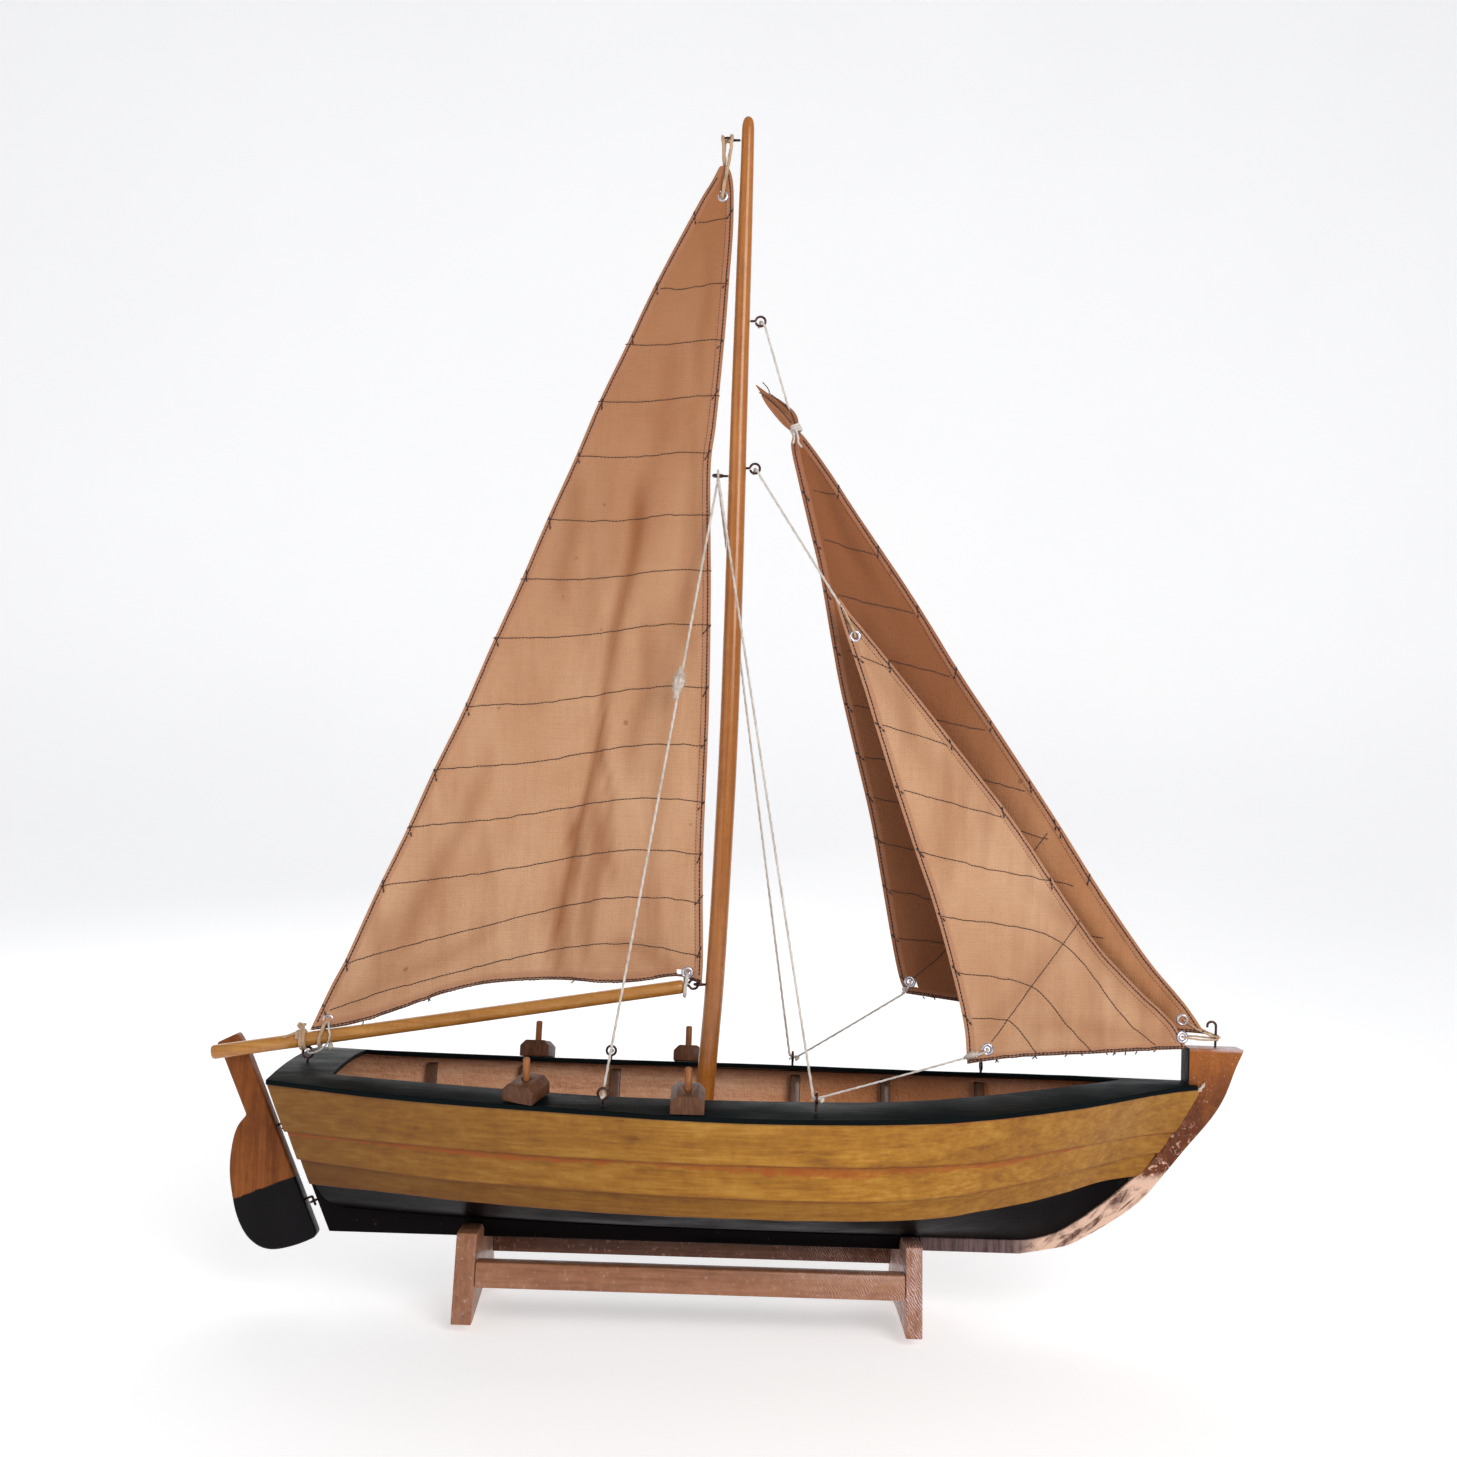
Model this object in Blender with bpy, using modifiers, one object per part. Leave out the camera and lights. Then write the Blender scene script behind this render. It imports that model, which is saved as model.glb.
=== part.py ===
"""Model sailing ship on its stand: an open clinker boat with a mast, boom, three sails and a rudder.

Metres, +Z up, +X to the bow, +Y to port.  Lengths below are in millimetres and scaled by MM.
"""
import math

import bmesh
import bpy
from mathutils import Matrix, Vector

MM = 0.001
NAME = "model_sailing_ship"

# ---- driving dimensions, mm ------------------------------------------------
GAP = 0.3                      # running clearance between pieces that touch
PLANK = 1.5                    # strake thickness
LAP_INSET = 2.2                # a strake's top edge tucks this far behind the one above
LAP_OVER = 2.0                 # and rises this far behind it
STEM_HALF = 6.0                # half thickness of the stem
KEEL_HALF = 5.0                # half thickness of the keel
KEEL_LOW = 31.0                # underside of the keel
DECK_THICK = 2.2
CAMBER = math.tan(math.radians(10.5))
RAKE = 0.41                    # transom lean, aft per unit of height
RUD_LEAN = 0.438               # rudder's leading edge, aft per unit of height
RUD_GAP = 6.2                  # rudder edge to sternpost
WIRE = 0.6                     # radius of the screw-eye wire
EYE_R = 2.4                    # ring radius to the middle of the wire
TWINE = 0.55                   # rigging twine radius
MAST_TOP = 580.0
BOOM_R = 3.3
SAIL_THICK = 1.0
UP_BOTTOM = 37.6               # half width of an upright at the floor
UP_TOP = 29.7
UP_HEIGHT = 38.9
UP_AFT = (-123.5, -114.2)
UP_FORE = (83.0, 90.6)
RAIL_Z = (15.8, 26.7)
RAIL_THICK = 7.6

# deck outline: x, half breadth, height of the lower outer edge
DECK = [(-209, 48.7, 106.9), (-190, 51.4, 105.6), (-164, 55.0, 104.1), (-140, 58.5, 103.2),
        (-114, 61.8, 102.6), (-85, 65.0, 102.0), (-57, 67.8, 101.6), (-35, 70.0, 101.2),
        (-13, 71.2, 101.0), (6, 71.6, 100.9), (26, 71.1, 101.0), (43, 69.8, 101.1),
        (60, 67.8, 101.2), (78, 65.0, 101.5), (97, 61.3, 101.9), (121.6, 53.7, 103.2),
        (141, 46.3, 104.5), (161.5, 37.4, 105.9), (180, 27.6, 107.5), (199, 16.4, 109.1),
        (212, 10.6, 110.1), (223.2, 6.9, 110.9)]
# opening edge paired with each deck station: x, half breadth, top height
OPENING = [(-182.5, 35.8, 110.4), (-176, 36.6, 110.1), (-160, 38.6, 109.5), (-138, 41.6, 108.9),
           (-113, 44.5, 108.1), (-85, 47.7, 107.5), (-57, 50.4, 107.1), (-35, 51.0, 107.0),
           (-13, 51.2, 107.0), (6, 50.9, 107.1), (26, 50.0, 107.2), (43, 48.7, 107.3),
           (60, 46.9, 107.4), (77, 43.9, 107.8), (93, 39.9, 108.3), (114, 33.1, 109.4),
           (130, 27.6, 110.4), (145, 21.6, 111.4), (155, 17.3, 112.0), (163, 14.0, 112.6),
           (168, 11.9, 112.9), (172, 10.0, 113.1)]
# plank laps: aft x, fore x, breadth ratio, then x, height
LAPS = [(-200.6, 211.5, 0.955,
         [(-202, 85.5), (-164, 84.0), (-123, 82.7), (-73, 81.8), (-17, 81.8), (27, 81.9),
          (61, 81.6), (98, 82.4), (117, 83.0), (162, 87.2), (212, 90.4)]),
        (-195.2, 203.5, 0.865,
         [(-196, 72.4), (-164, 70.0), (-124, 67.5), (-73, 66.4), (-12, 65.8), (27, 65.6),
          (62, 65.3), (99, 66.7), (118, 68.8), (152, 73.4), (193, 78.8), (204, 80.6)]),
        (-190.3, 193.0, 0.760,
         [(-191, 60.4), (-155, 58.8), (-114, 56.8), (-57, 55.3), (-12, 55.3), (28, 55.0),
          (68, 54.8), (100, 55.8), (110, 57.0), (142, 60.9), (178, 67.4), (194, 69.4)])]
KEEL_LINE = [(-183, 43.5), (-150, 41.4), (-110, 40.0), (-60, 38.9), (0, 38.3), (94, 37.9),
             (138, 37.9), (147, 38.9), (159, 43.0), (177.3, 55.4), (190.6, 66.6)]
STEM_INNER = [(92.6, 37.5), (139, 37.5), (147.6, 38.4), (159.8, 42.6), (178.1, 55.1),
              (191.6, 66.4), (197.6, 71.6), (212.6, 90.6), (220.1, 102.8), (224.2, 110.0), (224.3, 111.2)]
STEM_OUTER = [(245.7, 130.4), (242.0, 122.0), (236.6, 107.8), (230.7, 97.9), (217.8, 82.3),
              (207.1, 68.9), (198.5, 58.9), (189.9, 51.7), (175.9, 42.6), (162.9, 35.7),
              (150.9, 33.0), (140.0, KEEL_LOW), (92.6, KEEL_LOW)]
RIB_X = [-151.4, -104.8, -58.3, -11.7, 35.0, 81.2, 127.5]
RUDDER = [(-229.4, 110.8), (-234.2, 119.3), (-236.2, 122.3), (-245.7, 117.5), (-241.4, 109.7),
          (-229.9, 84.0), (-234.0, 78.2), (-236.1, 69.5), (-236.6, 57.9), (-234.9, 46.5),
          (-231.9, 35.8), (-227.1, 27.4), (-221.0, 22.6), (-214.5, 21.2), (-205.1, 23.1),
          (-195.2, 27.3), (-193.8, 29.6), (-199.5, 42.6)]
MAST_LINE = [(50.5, -14.0, 4.5), (74, -13.0, 4.5), (107, -11.6, 4.5), (150, -9.2, 4.5),
             (212, -7.4, 4.5), (280, -6.3, 4.5), (360, -6.4, 4.4), (430, -6.8, 4.2),
             (498, -6.9, 3.8), (550, -7.0, 3.4), (572, -7.1, 3.15), (577.5, -7.1, 2.6),
             (580, -7.1, 1.4)]
BOOM_AFT = (-243.4, -17.0, 115.2)
BOOM_FORE = (-24.0, -0.5, 151.3)
GOOSENECK = (-16.6, 0.0, 152.4)
MASTHEAD = (-16.6, 0.0, 568.0)
SHROUD_EYE = (-16.0, 0.0, 400.0)
JIB_EYE = (2.3, 0.0, 477.4)
STAY_EYE = (2.0, 0.0, 404.2)
# deck screw eyes: name, x, y, ring height, ring turned fore and aft
DECK_EYES = [("shroud_eye_aft_starboard", -56.9, -60.5, 110.0, False),
             ("shroud_eye_aft_port", -61.1, 60.5, 110.0, False),
             ("shroud_eye_fore_starboard", 37.4, -60.5, 110.9, True),
             ("shroud_eye_fore_port", 33.1, 60.5, 109.9, True),
             ("spare_eye_fore_port", 127.5, 40.0, 111.7, True),
             ("mainsheet_eye", -199.6, -13.0, 116.0, False)]
# oarlock blocks: name, x, y, turn about Z, deg
BLOCKS = [("aft_starboard", -91.5, -55.4, -20.0), ("aft_port", -98.7, 55.2, -6.0),
          ("fore_starboard", -19.5, -61.4, 0.0), ("fore_port", -21.2, 61.4, 0.0)]
BLOCK = (15.0, 18.0, 8.2)
PIN_R = 1.6
PIN_TALL = 10.0
PIN_SUNK = 4.0
# sails: aft edge and fore edge from foot to head (x, y, z)
MAIN_LEECH = [(-198.3, -13.6, 127.8), (-190, -13, 147), (-184.3, -12.6, 159.7),
              (-159, -10.7, 220.6), (-134.7, -8.8, 279.3), (-110.2, -7.0, 341.8),
              (-85.8, -5.1, 405.1), (-62.8, -3.4, 462.7), (-46, -2.2, 500), (-24.5, -0.6, 552)]
MAIN_LUFF = [(-20.5, -0.2, 158.0), (-17.5, 0, 180), (-16.8, 0, 212.2), (-16.6, 0, 280),
             (-17.6, 0, 340), (-20.8, -0.2, 392), (-20.8, -0.2, 408), (-17.6, 0, 450),
             (-15.2, 0, 500), (-15.0, 0, 554)]
MAIN_FOOT = [(-198.3, 127.8), (-178, 131.0), (-157.7, 137.7), (-120.8, 149.5), (-83.1, 153.0),
             (-60, 152.4), (-38, 154.6), (-20.5, 158.0)]
JIB_LEECH = [(86.3, 23.0, 149.6), (78.8, 21.4, 172.1), (65.5, 16.3, 234.2), (47.9, 11.5, 299.0),
             (35.7, 6.8, 355.3), (23.4, 3.5, 400.4), (19.6, 2.0, 417.5)]
JIB_LUFF = [(224.5, 0.8, 138.8), (206, 1.0, 164), (170, 1.0, 214), (122, 0.8, 283),
            (81.3, 0.8, 344.1), (41, 0.8, 401), (25.4, 1.0, 420.5)]
STAY_LEECH = [(109.8, -21.6, 125.5), (101.4, -17.3, 168.3), (85.1, -12.9, 217.8),
              (66, -8.4, 272), (51.5, -4.4, 316), (47.2, -2.8, 330.0)]
STAY_LUFF = [(215.5, -3.2, 132.0), (176, -3.0, 177), (132.4, -2.2, 236.7), (88, -2.0, 291),
             (58.1, -2.0, 325.9), (51.0, -2.0, 333.0)]

# ---- colours ---------------------------------------------------------------
COLOURS = {
    "stand_wood": ((0.30, 0.15, 0.09, 1), 0.55, 0.0), "hull_varnish": ((0.38, 0.16, 0.04, 1), 0.3, 0.0),
    "bottom_paint": ((0.012, 0.006, 0.007, 1), 0.35, 0.0), "stem_wood": ((0.33, 0.12, 0.04, 1), 0.35, 0.0),
    "deck_paint": ((0.015, 0.028, 0.032, 1), 0.35, 0.0), "inner_wood": ((0.38, 0.18, 0.08, 1), 0.4, 0.0),
    "rudder_wood": ((0.22, 0.08, 0.025, 1), 0.4, 0.0), "spar_varnish": ((0.38, 0.15, 0.04, 1), 0.25, 0.0),
    "block_wood": ((0.17, 0.08, 0.04, 1), 0.6, 0.0), "sail_cloth": ((0.50, 0.28, 0.16, 1), 0.85, 0.0),
    "screw_eye_bronze": ((0.10, 0.05, 0.04, 1), 0.35, 0.8), "twine": ((0.68, 0.62, 0.55, 1), 0.9, 0.0)}


def clear_scene():
    for obj in list(bpy.data.objects):
        bpy.data.objects.remove(obj, do_unlink=True)


def new_collection(name):
    group = bpy.data.collections.new(name)
    bpy.context.scene.collection.children.link(group)
    return group


def material(node, finish):
    colour, rough, metal = COLOURS[finish]
    mat = bpy.data.materials.new(node + "_" + finish)
    mat.use_nodes = True
    shader = mat.node_tree.nodes["Principled BSDF"]
    shader.inputs["Base Color"].default_value = colour
    shader.inputs["Roughness"].default_value = rough
    shader.inputs["Metallic"].default_value = metal
    mat.diffuse_color = colour
    return mat


def smooth_at(table, x, col=1):
    """Smooth interpolation through a table sorted by its first column."""
    last = len(table) - 1
    x = min(max(x, table[0][0]), table[last][0])
    i = 0
    while i < last - 1 and x > table[i + 1][0]:
        i += 1

    def slope(j):
        lo = max(j - 1, 0)
        hi = min(j + 1, last)
        return (table[hi][col] - table[lo][col]) / (table[hi][0] - table[lo][0])

    h = table[i + 1][0] - table[i][0]
    t = (x - table[i][0]) / h
    a = table[i][col]
    b = table[i + 1][col]
    return (a * (2 * t ** 3 - 3 * t ** 2 + 1) + b * (3 * t ** 2 - 2 * t ** 3)
            + slope(i) * h * (t ** 3 - 2 * t ** 2 + t) + slope(i + 1) * h * (t ** 3 - t ** 2))


def along(points, t):
    """Point at fraction t of a polyline's own stations, evenly spaced by arc length."""
    lengths = [0.0]
    for a, b in zip(points, points[1:]):
        lengths.append(lengths[-1] + (Vector(b) - Vector(a)).length)
    table = [(s,) + tuple(p) for s, p in zip(lengths, points)]
    s = t * lengths[-1]
    return Vector([smooth_at(table, s, c) for c in range(1, len(table[0]))])


def mesh_object(name, verts, faces, finish, origin=(0, 0, 0), smooth=False):
    """Mesh node from millimetre points in world axes, with its origin at `origin`."""
    mesh = bpy.data.meshes.new(name)
    base = Vector(origin)
    mesh.from_pydata([(Vector(v) - base) * MM for v in verts], [], faces)
    work = bmesh.new()
    work.from_mesh(mesh)
    bmesh.ops.recalc_face_normals(work, faces=work.faces)
    work.to_mesh(mesh)
    work.free()
    if smooth:
        mesh.shade_smooth()
        mesh.set_sharp_from_angle(angle=math.radians(40))
    mesh.materials.append(material(name, finish))
    obj = bpy.data.objects.new(name, mesh)
    obj.location = base * MM
    OBJECTS.objects.link(obj)
    return obj


def prism(name, outline, lo, hi, axis, finish, origin=(0, 0, 0), lean=0.0):
    """Outline extruded along X or Y; a lean shears an X prism aft with height."""
    verts = []
    for depth in (lo, hi):
        for a, z in outline:
            if axis == "Y":
                verts.append((a, depth, z))
            else:
                verts.append((depth - lean * z, a, z))
    n = len(outline)
    faces = [list(range(n)), list(range(2 * n - 1, n - 1, -1))]
    for i in range(n):
        j = (i + 1) % n
        faces.append([i, n + i, n + j, j])
    return mesh_object(name, verts, faces, finish, origin)


def loft(name, rings, finish, closed=False, origin=(0, 0, 0), smooth=True):
    """Closed rings joined in order; the ends are capped, or joined when closed."""
    verts = [p for ring in rings for p in ring]
    n = len(rings[0])
    count = len(rings)
    faces = []
    for r in range(count if closed else count - 1):
        nxt = (r + 1) % count
        for i in range(n):
            j = (i + 1) % n
            faces.append([r * n + i, r * n + j, nxt * n + j, nxt * n + i])
    if not closed:
        faces.append(list(range(n)))
        faces.append(list(range(len(verts) - 1, len(verts) - n - 1, -1)))
    return mesh_object(name, verts, faces, finish, origin, smooth)


def sheet(name, rows, thick, finish, inside=None):
    """Thin closed solid from a grid of points, thickened towards `inside`, or both ways."""
    cols = len(rows[0])
    verts = [p for row in rows for p in row]
    faces = []
    facing = 0.0
    for r in range(len(rows) - 1):
        for c in range(cols - 1):
            a = r * cols + c
            faces.append([a, a + 1, a + cols + 1, a + cols])
            if inside is not None:
                p, q, s = (Vector(verts[a]), Vector(verts[a + 1]), Vector(verts[a + cols + 1]))
                facing += (q - p).cross(s - p).dot(p - Vector(inside))
    if facing < 0:
        faces = [face[::-1] for face in faces]
    mesh = bpy.data.meshes.new(name)
    mesh.from_pydata([Vector(v) * MM for v in verts], [], faces)
    mesh.materials.append(material(name, finish))
    obj = bpy.data.objects.new(name, mesh)
    OBJECTS.objects.link(obj)
    shell = obj.modifiers.new("thickness", "SOLIDIFY")
    shell.thickness = thick * MM
    shell.offset = 0.0 if inside is None else -1.0
    return obj


def wire(name, points, radius, finish, origin=(0, 0, 0), res=2):
    """Round wire or cord along a polyline, capped at both ends."""
    curve = bpy.data.curves.new(name, "CURVE")
    curve.dimensions = "3D"
    curve.bevel_depth = radius * MM
    curve.bevel_resolution = res
    curve.use_fill_caps = True
    curve.materials.append(material(name, finish))
    spline = curve.splines.new("POLY")
    spline.points.add(len(points) - 1)
    base = Vector(origin)
    for slot, p in zip(spline.points, points):
        slot.co = ((Vector(p) - base) * MM).to_4d()
    obj = bpy.data.objects.new(name, curve)
    obj.location = base * MM
    OBJECTS.objects.link(obj)
    return obj


def cut_bore(target, centre, radius, depth, turn=None):
    """Blind round hole drilled down from `centre` into the target."""
    work = bmesh.new()
    bmesh.ops.create_cone(work, cap_ends=True, segments=16, radius1=radius * MM,
                          radius2=radius * MM, depth=2 * depth * MM)
    mesh = bpy.data.meshes.new(target.name + "_bore")
    work.to_mesh(mesh)
    work.free()
    cutter = bpy.data.objects.new(target.name + "_bore", mesh)
    cutter.matrix_world = Matrix.Translation(Vector(centre) * MM) @ (turn or Matrix())
    cutter.hide_render = True
    cutter.display_type = "WIRE"
    CUTTERS.objects.link(cutter)
    bore = target.modifiers.new("bore", "BOOLEAN")
    bore.operation = "DIFFERENCE"
    bore.solver = "EXACT"
    bore.object = cutter


def deck_top(x, y):
    """Height of the deck's top face at a place on its side planks."""
    return smooth_at(DECK, x, 2) + DECK_THICK + (smooth_at(DECK, x, 1) - abs(y)) * CAMBER


def hull_line(k, u):
    """Point on the starboard side: sheer (0), laps (1-3) or keel line (4), u from stern to stem."""
    if k == 4:
        x = -183.0 + u * (190.6 + 183.0)
        return Vector((x, -6.4, smooth_at(KEEL_LINE, x)))
    deck_x = -209.0 + u * (223.2 + 209.0)
    half = max(smooth_at(DECK, deck_x, 1) - 1.2, 6.4)
    if k == 0:
        return Vector((deck_x, -half, smooth_at(DECK, deck_x, 2) - GAP))
    aft, fore, ratio, heights = LAPS[k - 1]
    x = aft + u * (fore - aft)
    blend = max(0.0, (u - 0.8) / 0.2) ** 2
    return Vector((x, -max(half * (ratio + (1 - ratio) * blend), 6.4), smooth_at(heights, x)))


def half_at(k, x):
    """Half breadth and height of a hull line at a given x."""
    ends = [(-209.0, 223.2)] + [(lap[0], lap[1]) for lap in LAPS] + [(-183.0, 190.6)]
    lo, hi = ends[k]
    p = hull_line(k, min(max((x - lo) / (hi - lo), 0.0), 1.0))
    return -p.y, p.z


def strake_stations():
    return [0, 0.05, 0.12, 0.2, 0.28, 0.36, 0.44, 0.52, 0.6, 0.68, 0.75, 0.81, 0.86, 0.91, 0.96, 1.0]


def make_strake(name, k, side, finish):
    rows = []
    for u in strake_stations():
        top = hull_line(k, u)
        if k > 0:
            top = top + Vector((0, min(LAP_INSET, -top.y - 3.2), LAP_OVER))
        low = hull_line(k + 1, u)
        rows.append([Vector((p.x, p.y * -side, p.z)) for p in (top, (top + low) / 2, low)])
    return sheet(name, rows, PLANK, finish, (0, 0, 75))


def make_bottom():
    rows = []
    for u in strake_stations():
        top = hull_line(3, u) + Vector((0, LAP_INSET, LAP_OVER))
        low = hull_line(4, u)
        mid = (top + low) / 2 + Vector((0, -1.5, -2.2)) * (1 - u ** 6)
        star = [top, mid, low]
        port = [Vector((p.x, -p.y, p.z)) for p in reversed(star)]
        rows.append(star + port)
    return sheet("bottom_planking", rows, PLANK, "bottom_paint", (0, 0, 120))


def make_deck():
    """Side decks, stern board and fore deck as one cambered ring round the opening."""
    outer = []
    inner = []
    for (x, half, z), (ox, oy, oz) in zip(DECK, OPENING):
        outer.append((x, -half, z + DECK_THICK))
        inner.append((ox, -oy, oz))
    notch = [((223.2, -6.4), (175, -8.3)), ((218.3, -6.4), (180, -5.2)), ((218.3, 0), (187.9, 0)),
             ((218.3, 6.4), (180, 5.2)), ((223.2, 6.4), (175, 8.3))]
    for (x, y), (ix, iy) in notch:
        outer.append((x, y, 113.2 + (6.4 - abs(y)) * 0.08))
        inner.append((ix, iy, 113.7 - abs(iy) * 0.06))
    for (x, half, z), (ox, oy, oz) in reversed(list(zip(DECK, OPENING))):
        outer.append((x, half, z + DECK_THICK))
        inner.append((ox, oy, oz))
    for y in (32, 16, 0, -16, -32):
        rise = 2.6 * (1 - (y / 48.7) ** 2)
        outer.append((-209, y, 109.1 + rise))
        inner.append((-182.5, y * 0.72, 110.4 + 1.6 * (1 - (y / 48.7) ** 2)))
    rings = []
    drop = Vector((0, 0, -DECK_THICK))
    for o, i in zip(outer, inner):
        o = Vector(o)
        i = Vector(i)
        rings.append([o, i, i + drop, o + drop])
    return loft("deck_ring", rings, "deck_paint", closed=True, smooth=False)


def make_rib(index, x):
    """U-shaped frame standing just inside the planks."""
    lo = x - 2.5
    hi = x + 2.5
    path = []
    for k, inset, lift in ((0, 3.4, -0.8), (1, 4.9, 0), (2, 5.9, 0)):
        half = min(half_at(k, lo)[0], half_at(k, hi)[0])
        path.append((half - inset, half_at(k, x)[1] + lift))
    bilge_y = min(half_at(3, lo)[0], half_at(3, hi)[0])
    bilge_z = max(half_at(3, lo)[1], half_at(3, hi)[1])
    keel_z = max(half_at(4, lo)[1], half_at(4, hi)[1])
    mid_y = (bilge_y - LAP_INSET + 6.4) / 2 + 1.5
    mid_z = (bilge_z + LAP_OVER + keel_z) / 2 - 2.2
    path.append((bilge_y - 6.6, bilge_z + LAP_OVER + 1.5))
    path.append((mid_y - 1.4, mid_z + PLANK + 1.9))
    path.append((6.0, keel_z + PLANK + 1.5))
    inner = [(y - 3.2, z + (3.4 if i > 3 else 1.6 * (i > 0))) for i, (y, z) in enumerate(path)]
    inner[-1] = (6.0, path[-1][1] + 3.4)
    star = [(-y, z) for y, z in path]
    port = [(y, z) for y, z in reversed(path)]
    back = [(y, z) for y, z in inner] + [(-y, z) for y, z in reversed(inner)]
    prism("rib_%d" % index, star + port + back, lo, hi, "X", "inner_wood")


def ring_points(centre, across, up, radius, start, stop, count):
    across = Vector(across)
    up = Vector(up)
    pts = []
    for i in range(count):
        a = math.radians(start + (stop - start) * i / (count - 1))
        pts.append(Vector(centre) + across * radius * math.cos(a) + up * radius * math.sin(a))
    return pts


def screw_eye(name, centre, shank, plane, reach, radius=EYE_R, rod=WIRE, sides=2):
    """Open-ring screw eye: a straight shank running into a ring bent nearly closed."""
    shank = Vector(shank).normalized()
    side = Vector(plane).normalized()
    base = Vector(centre) + shank * (radius + reach)
    neck = Vector(centre) + shank * (radius + rod * 0.6) + side * rod * 0.2
    ring = ring_points(centre, side, -shank, radius, -70, 248, 15)
    return wire(name, [base, neck] + ring, rod, "screw_eye_bronze", origin=base, res=sides)


def make_stand():
    for name, span, arch in (("stand_upright_aft", UP_AFT, 6.0), ("stand_upright_fore", UP_FORE, 1.6)):
        notch = KEEL_HALF + 0.4
        floor = KEEL_LOW - GAP
        half = [(notch, floor), (notch, UP_HEIGHT - 3.4), (12.0, UP_HEIGHT), (UP_TOP, UP_HEIGHT),
                (UP_BOTTOM, 0), (UP_BOTTOM - 5.5, 0), (0.0, arch)]
        mirror = [(-y, z) for y, z in reversed(half[:-1])]
        prism(name, half + mirror, span[0], span[1], "X", "stand_wood")
    slant = (UP_BOTTOM - UP_TOP) / UP_HEIGHT
    for name, side in (("stand_rail_starboard", -1), ("stand_rail_port", 1)):
        out_low = UP_BOTTOM - slant * RAIL_Z[0]
        out_high = UP_BOTTOM - slant * RAIL_Z[1]
        outline = [(side * out_low, RAIL_Z[0]), (side * out_high, RAIL_Z[1]),
                   (side * (out_high - RAIL_THICK), RAIL_Z[1]), (side * (out_high - RAIL_THICK), RAIL_Z[0])]
        prism(name, outline, UP_AFT[1] + GAP, UP_FORE[0] - GAP, "X", "stand_wood")


def make_backbone():
    foot = Vector((-199.5, 42.6))
    out = Vector((1, RUD_LEAN)).normalized() * RUD_GAP
    edge = foot + out
    top_z = 96.0
    post_top = (edge.x - (top_z - edge.y) * RUD_LEAN, top_z)
    low_x = edge.x + (edge.y - KEEL_LOW) * RUD_LEAN
    rake_x = -209.0 - 0.3
    top = [(x, z - 0.4) for x, z in KEEL_LINE if -175 < x < 90]
    outline = [(low_x, KEEL_LOW), post_top, (rake_x + (106.9 - top_z) * RAKE - 1.6, top_z),
               (rake_x + (106.9 - 44.0) * RAKE - 1.6, 44.0), (-180.0, 42.8)]
    outline += top + [(92.0, 37.5), (92.0, KEEL_LOW)]
    prism("keel", outline, -KEEL_HALF, KEEL_HALF, "Y", "bottom_paint")
    stem = [(218.7, 130.4), (218.7, 111.2)] + list(reversed(STEM_INNER)) + list(reversed(STEM_OUTER))
    prism("stem", stem, -STEM_HALF, STEM_HALF, "Y", "stem_wood")


def make_transom():
    pts = []
    for k, inset, lift in ((0, 2.4, -0.6), (1, 4.2, 2.6), (1, 4.2, 0), (2, 4.2, 2.6), (2, 4.2, 0),
                           (3, 4.6, 2.6)):
        p = hull_line(k, 0)
        pts.append((-p.y - inset, p.z + lift))
    mid = pts[-1]
    pts.append((mid[0] * 0.52, (mid[1] + 43.5) / 2 + 1.8))
    pts.append((6.0, 46.0))
    outline = [(-y, z) for y, z in pts] + list(reversed(pts))
    lean = RAKE
    shift = -209.0 + 106.9 * lean
    prism("transom", outline, shift + 0.4 + 0.0, shift + 3.4, "X", "hull_varnish", lean=lean)


def make_blocks():
    half_x, half_y, tall = BLOCK[0] / 2, BLOCK[1] / 2, BLOCK[2]
    cham = 2.8
    for name, x, y, turn in BLOCKS:
        lean = math.copysign(math.atan(CAMBER), y) * -1
        base_z = deck_top(x, y) + GAP + 0.15
        tilt = Matrix.Rotation(math.radians(turn), 4, "Z")
        slope = Matrix.Rotation(lean, 4, "X")
        place = slope @ tilt
        outline = [(-half_x, 0.0), (half_x, 0.0), (half_x, tall - cham), (half_x - cham, tall),
                   (cham - half_x, tall), (-half_x, tall - cham)]
        local = [(px, py, pz) for py in (-half_y, half_y) for px, pz in outline]
        verts = [Vector((x, y, base_z)) + place.to_3x3() @ Vector(p) for p in local]
        n = len(outline)
        faces = [list(range(n)), list(range(2 * n - 1, n - 1, -1))]
        faces += [[i, n + i, n + (i + 1) % n, (i + 1) % n] for i in range(n)]
        block = mesh_object("oarlock_block_" + name, verts, faces, "block_wood")
        mouth = Vector((x, y, base_z)) + slope.to_3x3() @ Vector((0, 0, tall))
        cut_bore(block, mouth, PIN_R + GAP, PIN_SUNK + GAP, slope)
        rings = []
        for h, r in ((-PIN_SUNK, PIN_R), (PIN_TALL - 0.5, PIN_R), (PIN_TALL, PIN_R - 0.5)):
            ring = []
            for i in range(12):
                a = math.tau * i / 12
                ring.append(mouth + slope.to_3x3() @ Vector((r * math.cos(a), r * math.sin(a), h)))
            rings.append(ring)
        loft("thole_pin_" + name, rings, "spar_varnish")


def round_rings(stations, sides):
    """Rings round a list of centre, radius, and the two directions across the spar."""
    rings = []
    for centre, radius, u, v in stations:
        ring = []
        for i in range(sides):
            a = math.tau * i / sides
            ring.append(centre + u * radius * math.cos(a) + v * radius * math.sin(a))
        rings.append(ring)
    return rings


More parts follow.
